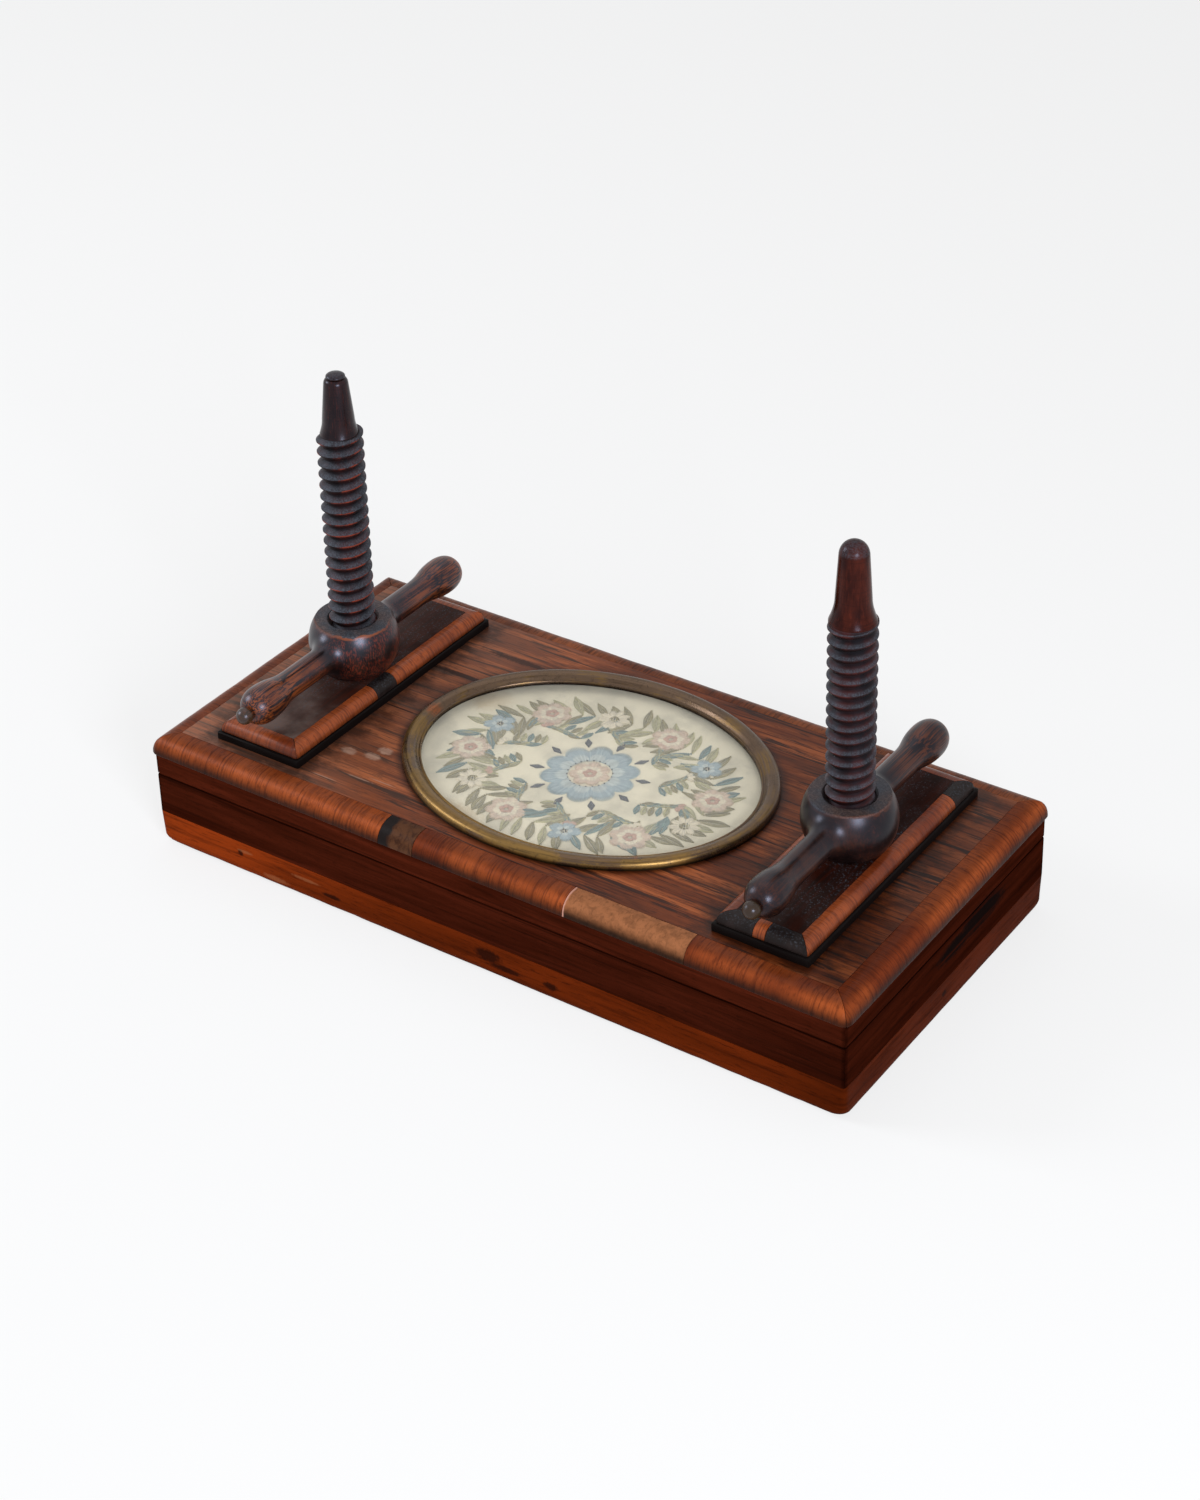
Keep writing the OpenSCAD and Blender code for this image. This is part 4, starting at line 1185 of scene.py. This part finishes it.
class PRESS_OT_lid(bpy.types.Operator):
    """Lid board with its post holes and its oval recess"""

    bl_idname = "press.lid"
    bl_label = "Lid board"

    def execute(self, context):
        wood = context.scene.press_woodwork
        bm = stepped_board(LID_LOW, LID_HIGH, BAND_LOW.z, wood.band_w)
        soften(bm, edges_at(bm, LID_LOW.z), wood.seam_round, segments=4)
        grid_cuts(bm, LID_LOW, LID_HIGH, worn_ends=True)
        round_plan(bm.verts, (HALF_L, HALF_W), wood.corner_round)
        weather(bm, seed=6)
        above = LID_HIGH.z + MM
        bm = bored(bm, SIGN, SHANK_R + wood.hole_clear, LID_LOW.z - MM, above)
        recess_floor = box_of("oval_backing")[0].z
        bm = cut_out(bm, oval_disc(SILK_LOW, SILK_HIGH, recess_floor, above, play=0.6 * MM))
        look = material("rosewood_lid", rosewood_lid)
        made = piece("rosewood_lid", bm, look, "lid", "lid_board")
        for axis in (AXIS_X, AXIS_Y):
            made.data.materials.append(rail_look(axis))
        for face in made.data.polygons:
            if face.normal.z < LEVEL_NORMAL:
                face.material_index = 2 if abs(face.normal.x) > abs(face.normal.y) else 1
        return {"FINISHED"}


class PRESS_OT_bands(bpy.types.Operator):
    """Cross-grain edge bands of the lid with their inlaid repairs"""

    bl_idname = "press.bands"
    bl_label = "Edge bands"

    def execute(self, context):
        wood = context.scene.press_woodwork
        tone = context.scene.press_colours
        half = (HALF_L + BAND_PROUD, HALF_W + BAND_PROUD)
        section = (wood.band_w + BAND_PROUD, BAND_H, {"outer_high": wood.band_r, "outer_low": wood.arris})
        for count, (name, side, start, end) in enumerate(self.runs()):
            bm = bar(side, half, section, BAND_LOW.z, wood.band_corner_round, start, end)
            weather(bm, seed=10 + count, waves=2)
            if name == "front_band_dark_patch":
                look = material("mended_patch", mended_patch, low_x=start)
            elif name == "front_band_pale_patch":
                look = material("pale_inlay", pale_inlay, low_x=start)
            else:
                main, lines = tone.crossband, tone.crossband_dark
                if side == BACK:
                    main, lines = tone.rosewood_light, tone.rosewood_dark
                # low and high bound the painted shade at the band's foot.
                look = material(f"veneer_{name}", cross_grain, axis=axis_of(side), main=main, lines=lines,
                                shift=1.7 * count, low=BAND_LOW.z + 0.1 * BAND_H,
                                high=BAND_LOW.z + 0.85 * BAND_H, crown=0.62,
                                gloss=0.06 if side == RIGHT else 0.08)
            piece(f"{name}_veneer", bm, look, "lid", name)
        return {"FINISHED"}

    def runs(self):
        """Pieces of the band: node, side, start and end."""
        patches = ("front_band_dark_patch", "front_band_pale_patch")
        joints = [None, *(corner.x for name in patches for corner in box_of(name)), None]
        names = ("front_band_left", patches[0], "front_band_middle", patches[1], "front_band_right")
        whole = (("back_band", BACK), ("left_end_band", LEFT), ("right_end_band", RIGHT))
        return [(name, FRONT, *ends) for name, *ends in zip(names, joints, joints[1:])] + [
            (name, side, None, None) for name, side in whole]


class PRESS_OT_pads(bpy.types.Operator):
    """Raised pads under the nuts with their edgings"""

    bl_idname = "press.pads"
    bl_label = "Pads"

    def execute(self, context):
        wood = context.scene.press_woodwork
        for side in SIGN:
            low, high = box_of(f"{side}_pad_board")
            self.board(wood, side, low, high)
            self.edgings(wood, context.scene.press_colours, side, (high - low) / 2)
        return {"FINISHED"}

    def board(self, wood, side, low, high):
        bm = stepped_board(low, high, EDGING_Z, wood.edging_w + wood.plinth_ledge)
        ends = {round(low.x, 6), round(high.x, 6)}
        upright = [e for e in bm.edges if self.below_edging(e)]
        rim = [e for e in edges_at(bm, EDGING_Z) if ends & {round(v.co.x, 6) for v in e.verts}]
        soften(bm, upright + rim, wood.arris, segments=2)
        grid_cuts(bm, low, high)
        weather(bm, seed=20 + SIGN[side])
        bm = bored(bm, [side], SHANK_R + wood.hole_clear, low.z - MM, high.z + MM)
        look = material("pad_field", pad_field)
        piece(f"{side}_pad_field", bm, look, "lid", f"{side}_pad_board")

    def below_edging(self, edge, upright_share=0.99):
        """Whether an edge stands upright and lies below the edgings."""
        first, second = (vert.co for vert in edge.verts)
        span = second - first
        return abs(span.z) > upright_share * span.length and first.z + second.z < 2 * EDGING_Z

    def edgings(self, wood, tone, side, half):
        sign = SIGN[side]
        section = (wood.edging_w, wood.edging_h, {"outer_high": wood.edging_r, "outer_low": wood.arris})
        half = (half.x - wood.plinth_ledge, half.y - wood.plinth_ledge)
        middle = Vector((sign * POST_X, 0, 0))
        for count, (name, edge, start, end) in enumerate(self.runs(side)):
            bm = bar(edge, half, section, EDGING_Z, wood.corner_round, start, end, middle)
            weather(bm, seed=30 + 10 * sign + count, waves=2)
            if "_dark_" in name:
                look = material("blackened", dusty_black)
            else:
                # low and high bound the painted shade at the edging's foot.
                look = material(f"veneer_{name}", cross_grain, axis=axis_of(edge), main=tone.crossband,
                                lines=tone.crossband_dark, shift=0.9 * count + sign,
                                low=EDGING_Z - 0.3 * wood.edging_h, high=EDGING_Z + wood.edging_h,
                                crown=0.9, gloss=0.22)
            piece(f"{name}_veneer", bm, look, "lid", name)

    def runs(self, side):
        """Edging pieces of a pad: node, side of the frame, start and end."""
        if side == "left":
            square = [corner.y for corner in box_of("left_pad_dark_square")]
            return [
                ("left_pad_front_edge", FRONT, None, None),
                ("left_pad_back_edge", BACK, None, None),
                ("left_pad_outer_edge", LEFT, None, None),
                ("left_pad_inner_edge_front", RIGHT, None, square[0]),
                ("left_pad_dark_square", RIGHT, *square),
                ("left_pad_inner_edge_back", RIGHT, square[1], None),
            ]
        light = [corner.x - POST_X for corner in box_of("right_pad_front_light_piece")]
        dark_end = box_of("right_pad_outer_edge")[1].y
        return [
            ("right_pad_front_dark_inner", FRONT, None, light[0]),
            ("right_pad_front_light_piece", FRONT, *light),
            ("right_pad_front_dark_outer", FRONT, light[1], None),
            ("right_pad_back_edge", BACK, None, None),
            ("right_pad_outer_edge", RIGHT, None, dark_end),
            ("right_pad_outer_dark_end", RIGHT, dark_end, None),
            ("right_pad_inner_edge", LEFT, None, None),
        ]


# Wing nuts


class PRESS_OT_wing_nuts(bpy.types.Operator):
    """Turned wing nuts: a ball with two handles round a bore"""

    bl_idname = "press.wing_nuts"
    bl_label = "Wing nuts"

    def execute(self, context):
        master = self.turning(context.scene.press_turning)
        for side, wear in (
            ("left", {"near": 0.9, "far": 0.7, "worn_rim": 0.8, "dust": 0.9, "gloss": 0.42}),
            ("right", {"near": 0.12, "far": 0.4, "worn_rim": 0.2, "dust": 0.6, "gloss": 0.28}),
        ):
            x = SIGN[side] * POST_X
            bm = master.copy()
            move(bm, (x, 0, 0))
            look = material(f"{side}_nut_wood", turned_nut, x=x, **wear)
            piece(f"{side}_wing_nut_turning", bm, look, f"{side}_nut", f"{side}_wing_nut",
                  sharp=40)
        master.free()
        return {"FINISHED"}

    def turning(self, sizes):
        """A nut on the axis x = 0: turned about its handles, cut flat above and below, then bored."""
        bm = bmesh.new()
        turned(bm, self.outline(sizes), steps=NUT_STEPS)
        bmesh.ops.remove_doubles(bm, verts=bm.verts[:], dist=MERGE_DIST)
        bmesh.ops.rotate(bm, verts=bm.verts[:], cent=(0, 0, 0), matrix=Matrix.Rotation(-TURN / 4, 3, "X"))
        move(bm, (0, 0, NUT_LOW.z + sizes.axis_h))
        for height, way in ((NUT_LOW.z, -1), (NUT_HIGH.z, 1)):
            rim = cut_at(bm, (0, 0, height), (0, 0, way), clear=True)
            bmesh.ops.edgeloop_fill(bm, edges=rim)
            soften(bm, rim, sizes.rim_soft, segments=4)
        bore = threaded_rod(sizes, 0, NUT_LOW.z - MM, NUT_HIGH.z + MM, sizes.bore_gap)
        return cut_out(cut_out(bm, bore), self.mouth(sizes))

    def mouth(self, sizes):
        """Countersink of the bore's upper end."""
        radius = sizes.thread_d / 2 + sizes.bore_gap + sizes.mouth_w
        bm = bmesh.new()
        bmesh.ops.create_cone(bm, cap_ends=True, segments=ROUND_STEPS, radius1=radius - 2 * MM,
                              radius2=radius + MM, depth=3 * MM,
                              matrix=Matrix.Translation((0, 0, NUT_HIGH.z - 0.5 * MM)))
        return bm

    def outline(self, sizes, ball_steps=48, fillet_steps=12):
        """Outline of the turning from its bead to its cap: radius and place along the handles."""
        bore_rim = sizes.thread_d / 2 + sizes.bore_gap + sizes.rim_w
        ball = math.hypot(bore_rim, NUT_HIGH.z - NUT_LOW.z - sizes.axis_h)
        hollow = sizes.fillet_r
        hollow_x = sizes.neck_d / 2 + hollow
        hollow_z = math.sqrt((ball + hollow) ** 2 - hollow_x ** 2)
        meet = math.atan2(hollow_x, hollow_z)
        angles = [meet + (math.pi - 2 * meet) * i / ball_steps for i in range(ball_steps + 1)]
        middle = [(ball * math.sin(a), -ball * math.cos(a)) for a in angles]
        sweep = [meet + (TURN / 4 - meet) * i / fillet_steps for i in range(1, fillet_steps + 1)]
        handle = [(hollow_x - hollow * math.sin(a), hollow_z - hollow * math.cos(a)) for a in sweep]
        self.swell(sizes, handle)
        front = handle.copy()
        back = handle.copy()
        self.bead(sizes, front)
        self.cap(sizes, back)
        return [(r, -z) for r, z in reversed(front)] + middle + back

    def swell(self, sizes, line):
        """Handle from its neck to where its bulb is widest."""
        neck = sizes.neck_d / 2
        bulb = sizes.bulb_d / 2
        start = sizes.bulb_reach - sizes.swell_l
        half = start + sizes.swell_l / 2
        line.append((neck, start))
        bend(line, (neck, half), (bulb, half), (bulb, sizes.bulb_reach), count=20)

    def round_end(self, line, end, length, count):
        """Blunt round end from a line's last radius to a smaller one."""
        radius, start = line[-1]
        far = start + length
        bend(line, (radius, start + 0.56 * length), (end + 0.5 * (radius - end), far), (end, far), count)

    def bead(self, sizes, line, steps=12):
        """End of the front handle, with a groove and a finial bead."""
        bead = sizes.finial_d / 2
        groove = sizes.finial_neck_d / 2
        arc = math.pi - math.asin(groove / bead)
        bead_z = sizes.bulb_reach + sizes.bulb_end_l + math.sqrt(bead ** 2 - groove ** 2)
        self.round_end(line, groove, sizes.bulb_end_l, count=14)
        turns = [arc - arc * i / steps for i in range(1, steps + 1)]
        line += [(bead * math.sin(t), bead_z + bead * math.cos(t)) for t in turns]

    def cap(self, sizes, line):
        """End of the back handle, with a low cap."""
        self.round_end(line, sizes.cap_d / 2, sizes.bulb_end_l, count=14)
        self.round_end(line, 0, sizes.cap_h, count=8)


# Oval panel


def ray(heading):
    return Vector((math.cos(heading), math.sin(heading)))


def swept_grid(columns, rows, place):
    """Grid whose points are set by a function of two numbers from 0 to 1."""
    bm = bmesh.new()
    bmesh.ops.create_grid(bm, x_segments=columns, y_segments=rows, size=1)
    for vert in bm.verts:
        vert.co = place((vert.co.x + 1) / 2, (vert.co.y + 1) / 2)
    return bm


class PRESS_OT_oval_frame(bpy.types.Operator):
    """Brass bezel, glass and backing of the oval panel"""

    bl_idname = "press.oval_frame"
    bl_label = "Bezel and glass"

    def execute(self, context):
        section = self.section(context.scene.press_panel)
        rows = len(section) - 1
        half = ((BEZEL_HIGH - BEZEL_LOW) / 2).xy
        middle = ((BEZEL_HIGH + BEZEL_LOW) / 2).xy

        def on_bezel(around, across):
            inset, height = section[round(across * rows)]
            out = ray(TURN * around)
            point = middle + half * out - (half.yx * out).normalized() * inset
            return Vector((*point, BEZEL_LOW.z + height))

        bm = swept_grid(BEZEL_STEPS, rows, on_bezel)
        piece("brass_bezel", bm, material("brass", old_brass), "lid", "oval_bezel", sharp=50)
        bm = oval_disc(GLASS_LOW, GLASS_HIGH, GLASS_LOW.z, GLASS_HIGH.z)
        piece("panel_glass", bm, material("glass", window_glass), "lid", "oval_glass")
        paint_node("oval_backing", material("millboard", grey_board))
        return {"FINISHED"}

    def section(self, panel):
        """Closed section of the bezel: distance in from its outline and height."""
        high = BEZEL_HIGH.z - BEZEL_LOW.z
        wide = panel.bezel_w
        crown_w = panel.crown_w
        crown_h = panel.crown_h
        lip_w = wide - 0.9 * MM
        lip_h = panel.lip_h + 0.15 * MM
        line = [(0.0, 0.0), (0.0, panel.edge_h)]
        bend(line, (0.0, panel.edge_h + 0.6 * (high - panel.edge_h)), (0.4 * panel.round_w, high),
             (panel.round_w, high))
        bend(line, (panel.round_w + 0.8 * MM, high), (crown_w - 0.6 * MM, crown_h + 0.2 * MM),
             (crown_w, crown_h), count=5)
        bend(line, (crown_w + 0.7 * MM, crown_h - 0.3 * MM), (lip_w - 0.4 * MM, lip_h), (lip_w, lip_h),
             count=6)
        line += [(wide - 0.55 * MM, panel.lip_h + 0.4 * MM), (wide - 0.2 * MM, panel.lip_h + 0.35 * MM)]
        return line + [(wide, panel.lip_h), (wide, 0.0), (0.0, 0.0)]


class Needle:
    """Lays silk stitches into one mesh, each a ball drawn out along its thread; sizes are in millimetres."""

    def __init__(self, panel, seed):
        self.panel = panel
        self.rng = random.Random(seed)
        ball = bmesh.new()
        bmesh.ops.create_icosphere(ball, subdivisions=1, radius=1)
        ball.verts.index_update()
        self.points = [vert.co.copy() for vert in ball.verts]
        self.faces = [[vert.index for vert in face.verts] for face in ball.faces]
        ball.free()
        self.bm = bmesh.new()
        self.layer = self.bm.verts.layers.float_color.new("silk")

    def stitch(self, start, end, shade, lift=0.0):
        span = end - start
        middle = (start + end) / 2
        wide = self.panel.stitch_w
        high = self.panel.stitch_h
        place = Matrix.Translation((middle.x, middle.y, SILK_HIGH.z + 0.15 * high + lift * MM))
        place = place @ Matrix.Rotation(math.atan2(span.y, span.x), 4, "Z")
        place = place @ Matrix.Diagonal((max(span.length, wide) / 2, wide / 2, high / 2, 1))
        made = [self.bm.verts.new(place @ point) for point in self.points]
        for face in self.faces:
            self.bm.faces.new([made[k] for k in face])
        fade = self.rng.uniform(0.8, 1.1)
        for vert in made:
            vert[self.layer] = rgba(toned(shade, fade))

    def stem(self, points, shade):
        for start, end in zip(points, points[1:]):
            self.stitch(start, end + 0.2 * (end - start), shade)

    def leaf(self, base, heading, length, wide, shade):
        along = ray(heading)
        across = Vector((-along.y, along.x))
        count = max(5, round(length * MM / self.panel.stitch_gap / 1.2))
        for i in range(count):
            t = (i + 0.5) / count
            half = 0.5 * wide * MM * math.sin(math.pi * t ** 0.8)
            spot = base + along * (length * MM * t)
            for side, tint in ((-1, shade), (1, toned(shade, 0.8))):
                self.stitch(spot, spot + across * (side * half) + along * (0.9 * half), tint)

    def petal(self, middle, heading, near, far, wide, shade, lift=0.0):
        count = max(5, round(wide * MM / self.panel.stitch_gap))
        for i in range(count):
            t = -1 + 2 * (i + 0.5) / count
            along = ray(heading + 0.65 * wide / far * t) * MM
            reach = near + (far - near) * math.sqrt(1 - 0.75 * t * t)
            self.stitch(middle + along * near, middle + along * reach, shade, lift)

    def petals(self, middle, count, start, *rows):
        """Ring of petals; a row gives where each starts and ends, its width, colour and lift."""
        for k in range(count):
            for row in rows:
                self.petal(middle, start + TURN * k / count, *row)

    def knots(self, middle, radius, count, shade, lift):
        """Ring of round knots, or one in the middle."""
        step = Vector((0.3 * self.panel.stitch_w, 0))
        for k in range(count):
            spot = middle + ray(TURN * k / count) * (radius * MM)
            self.stitch(spot - step, spot + step, shade, lift)

    def lozenge(self, spot, heading, length, wide, shade):
        along = ray(heading) * MM
        across = Vector((-along.y, along.x))
        count = round(length * MM / self.panel.stitch_gap)
        for i in range(count):
            t = -1 + 2 * (i + 0.5) / count
            half = across * (0.5 * wide * (1 - abs(t)) + 0.2)
            row = spot + along * (0.5 * length * t)
            self.stitch(row - half, row + half, shade)


class PRESS_OT_silk(bpy.types.Operator):
    """Silk of the oval panel with its stitched garland"""

    bl_idname = "press.silk"
    bl_label = "Silk panel"

    def execute(self, context):
        panel = context.scene.press_panel
        tone = context.scene.press_colours
        span = SILK_HIGH - SILK_LOW
        middle = ((SILK_HIGH + SILK_LOW) / 2).xy
        ground = self.ground(span.xy, middle)
        needle = Needle(panel, seed=7)
        window = span.xy / 2 - Vector((panel.bezel_w, panel.bezel_w))
        garland_inset = Vector((14, 12.5)) * MM
        self.garland(needle, tone, middle, window - garland_inset)
        self.sprigs(needle, tone, middle)
        self.rosette(needle, tone, middle)
        look = material("silk_thread", silk_thread)
        stitches = piece("panel_stitches", needle.bm, look, "lid", outward=False)
        return {"FINISHED"}

    def ground(self, span, middle, rows=40, weave_size=9 * MM, sag_h=0.12 * MM):
        def on_silk(around, out):
            x, y = middle + 0.5 * out * span * ray(TURN * around)
            sag = 0.5 + 0.5 * noise.noise(Vector((x, y, 0)) / weave_size)
            return Vector((x, y, SILK_HIGH.z - sag_h * sag))

        bm = swept_grid(OVAL_STEPS, rows, on_silk)
        made = piece("silk_ground", bm, material("silk", aged_silk), "lid", "silk_panel")
        wall = made.modifiers.new("cloth", "SOLIDIFY")
        wall.thickness = 0.25 * MM
        wall.offset = -1
        return made

    def garland(self, needle, tone, middle, ring, blossoms=12, leaves=60):
        """Oval garland: three kinds of blossom in turn, over leaves."""
        greens = (tone.leaf_olive, tone.leaf_blue, tone.leaf_olive, tone.leaf_pale)
        for i in range(leaves):
            out = ray(TURN * i / leaves)
            forward = math.atan2(ring.y * out.x, -ring.x * out.y)
            for side in (-1, 1):
                heading = forward + side * needle.rng.uniform(0.7, 1.25)
                length = needle.rng.uniform(8.5, 12)
                shade = needle.rng.choice(greens)
                needle.leaf(middle + ring * out, heading, length=length, wide=needle.rng.uniform(2.8, 4),
                            shade=shade)
        kinds = (self.rose, self.blue_flower, self.rose, self.daisy)
        for i in range(blossoms):
            spot = middle + ring * ray(TURN * (i + 0.5) / blossoms)
            kinds[i % len(kinds)](needle, tone, spot)

    def rose(self, needle, tone, spot):
        for petals, *row in (
            (7, 3.2, 7.4, 5.2, tone.blossom, 0.08),
            (6, 1.8, 5, 4.2, tone.cream, 0.14),
            (5, 0.6, 2.9, 2.8, tone.blossom_deep, 0.2),
        ):
            needle.petals(spot, petals, needle.rng.uniform(0, TURN), row)

    def blue_flower(self, needle, tone, spot):
        needle.petals(spot, 5, needle.rng.uniform(0, TURN), (1.2, 6.2, 5.6, tone.sky, 0.1),
                      (1.0, 3.4, 2.4, tone.sky_pale, 0.16))
        needle.knots(spot, radius=0.7, count=5, shade=tone.ink, lift=0.2)

    def daisy(self, needle, tone, spot):
        needle.petals(spot, 9, needle.rng.uniform(0, TURN), (1.4, 6, 2.8, tone.cream, 0.1))
        needle.knots(spot, radius=0.9, count=6, shade=tone.leaf_olive, lift=0.16)
        needle.knots(spot, radius=0, count=1, shade=tone.ink, lift=0.2)

    def sprigs(self, needle, tone, middle, count=10):
        """Curved sprigs with small leaves and buds between rosette and garland."""
        stretch = Vector((1.3, 1.0))
        greens = (tone.leaf_pale, tone.leaf_olive, tone.leaf_blue)
        for k in range(count):
            heading = TURN * (k + 0.5) / count
            points = [middle + ray(heading + 0.06 * i) * stretch * ((19 + 1.5 * i) * MM) for i in range(6)]
            needle.stem(points, tone.leaf_blue)
            for i, spot in enumerate(points[:-1]):
                for side in (-1, 1):
                    shade = greens[(i + k + side) % len(greens)]
                    needle.leaf(spot, heading + side * 0.95, length=5.4, wide=2.3, shade=shade)
            bud = tone.blossom_deep if k % 2 else tone.cream
            for lean in (-0.5, 0.3, 1.1):
                needle.petal(points[-1], heading + lean, near=0.2, far=3.4, wide=2.4, shade=bud, lift=0.08)

    def rosette(self, needle, tone, middle, petals=10, lozenge_r=18.2 * MM):
        """Round rosette: blue petals, dark lozenges between them and a rose in the middle."""
        for k in range(petals):
            heading = TURN * k / petals
            needle.petal(middle, heading, near=7, far=17.5, wide=9.8, shade=tone.sky)
            needle.petal(middle, heading, near=7, far=12.5, wide=5.6, shade=tone.sky_pale, lift=0.08)
            gap = heading + TURN / petals / 2
            needle.lozenge(middle + ray(gap) * lozenge_r, gap, length=5, wide=2.8, shade=tone.ink)
        self.rose(needle, tone, middle)
        needle.knots(middle, radius=7.6, count=22, shade=tone.ink, lift=0.16)


# Stage

WHITE = (1, 1, 1, 1)
FLOOR_R = 6
FLOOR_GLOW = 0.72
SKY_LIGHT = 0.32
LIGHT_AIM = Vector((0, 0, 0.05))


class PRESS_OT_stage(bpy.types.Operator):
    """Pale floor, soft light and the camera"""

    bl_idname = "press.stage"
    bl_label = "Stage"

    def execute(self, context):
        self.floor(context.scene.press_colours.floor)
        self.world(context)
        self.lamps()
        context.scene.camera = self.camera()
        context.scene.view_settings.view_transform = "Standard"
        return {"FINISHED"}

    def seen(self, tree):
        """One on rays that show the stage itself, in view, in gloss or through glass."""
        camera, glossy, through = (
            add(tree, "ShaderNodeLightPath", output=kind)
            for kind in ("Is Camera Ray", "Is Glossy Ray", "Is Transmission Ray"))
        return camera.most(glossy).most(through)

    def floor(self, shade):
        bm = bmesh.new()
        bmesh.ops.create_circle(bm, cap_ends=True, segments=ROUND_STEPS, radius=FLOOR_R)
        mesh = bpy.data.meshes.new("floor")
        bm.to_mesh(mesh)
        bm.free()
        look = bpy.data.materials.new("press_floor")
        tree = cleared(look)
        plain = add(tree, "ShaderNodeBsdfDiffuse", {"Color": rgba(shade)})
        white = add(tree, "ShaderNodeEmission", {"Color": WHITE, "Strength": 1.0})
        both = add(tree, "ShaderNodeMixShader", {0: self.seen(tree) * FLOOR_GLOW, 1: plain, 2: white})
        add(tree, "ShaderNodeOutputMaterial", {"Surface": both})
        mesh.materials.append(look)
        new_object("floor", mesh)

    def world(self, context):
        world = bpy.data.worlds.new("studio")
        context.scene.world = world
        tree = cleared(world)
        strength = self.seen(tree).step(0, 1, SKY_LIGHT, 1.0)
        sky = add(tree, "ShaderNodeBackground", {"Color": WHITE, "Strength": strength})
        add(tree, "ShaderNodeOutputWorld", {"Surface": sky})

    def lamps(self):
        for name, place, wide, power, shade in (
            ("ceiling", (-0.35, 0.35, 1.5), 1.4, 4.0, (1, 1, 1)),
            ("right_window", (1.0, -0.76, 0.56), 0.42, 16.5, (0.92, 0.95, 1)),
            ("left_window", (-1.1, -0.5, 0.72), 0.5, 9.0, (0.92, 0.95, 1)),
        ):
            lamp = bpy.data.lights.new(name, "AREA")
            lamp.size = wide
            lamp.energy = power
            lamp.color = shade
            made = new_object(name, lamp)
            made.location = place
            made.rotation_euler = (LIGHT_AIM - Vector(place)).to_track_quat("-Z", "Y").to_euler()

    def camera(self):
        azimuth, elevation, roll = (math.radians(angle) for angle in (33.70, 28.41, -0.80))
        distance, shift_side, shift_up, aim_z = 1.01733, 0.02687, 0.11396, 0.030
        back = Vector((math.sin(azimuth) * math.cos(elevation), -math.cos(azimuth) * math.cos(elevation),
                       math.sin(elevation)))
        level = Vector((math.cos(azimuth), math.sin(azimuth), 0))
        rise = back.cross(level)
        side = math.cos(roll) * level + math.sin(roll) * rise
        up = math.cos(roll) * rise - math.sin(roll) * level
        place = back * distance + side * shift_side + up * shift_up + Vector((0, 0, aim_z))
        lens = bpy.data.cameras.new("camera")
        lens.lens = 73.63
        lens.sensor_width = 36
        lens.shift_x = -0.04897
        lens.shift_y = -0.19650
        made = new_object("camera", lens)
        made.matrix_world = Matrix.Translation(place) @ Matrix((side, up, back)).transposed().to_4x4()
        return made


# Panel and registration

BUILD_ORDER = (
    "base", "card_wells", "posts", "lid", "bands", "pads", "wing_nuts", "oval_frame", "silk", "stage",
)


class PRESS_PT_sidebar(bpy.types.Panel):
    """Lists the steps that dress the press"""

    bl_idname = "PRESS_PT_sidebar"
    bl_label = "Playing card press"
    bl_space_type = "VIEW_3D"
    bl_region_type = "UI"
    bl_category = "Press"

    def draw(self, context):
        for step in BUILD_ORDER:
            self.layout.operator(f"press.{step}")


GROUPS = {
    "press_woodwork": PressWoodwork,
    "press_turning": PressTurning,
    "press_panel": PressPanel,
    "press_colours": PressColours,
}
CLASSES = (
    *GROUPS.values(), PRESS_OT_base, PRESS_OT_card_wells, PRESS_OT_posts, PRESS_OT_lid, PRESS_OT_bands,
    PRESS_OT_pads, PRESS_OT_wing_nuts, PRESS_OT_oval_frame, PRESS_OT_silk, PRESS_OT_stage, PRESS_PT_sidebar,
)


def register():
    for item in CLASSES:
        bpy.utils.register_class(item)
    for name, group in GROUPS.items():
        setattr(bpy.types.Scene, name, PointerProperty(type=group))


def unregister():
    for name in GROUPS:
        delattr(bpy.types.Scene, name)
    for item in reversed(CLASSES):
        bpy.utils.unregister_class(item)


def main():
    register()
    for step in BUILD_ORDER:
        getattr(bpy.ops.press, step)()
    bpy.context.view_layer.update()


if __name__ == "__main__":
    main()
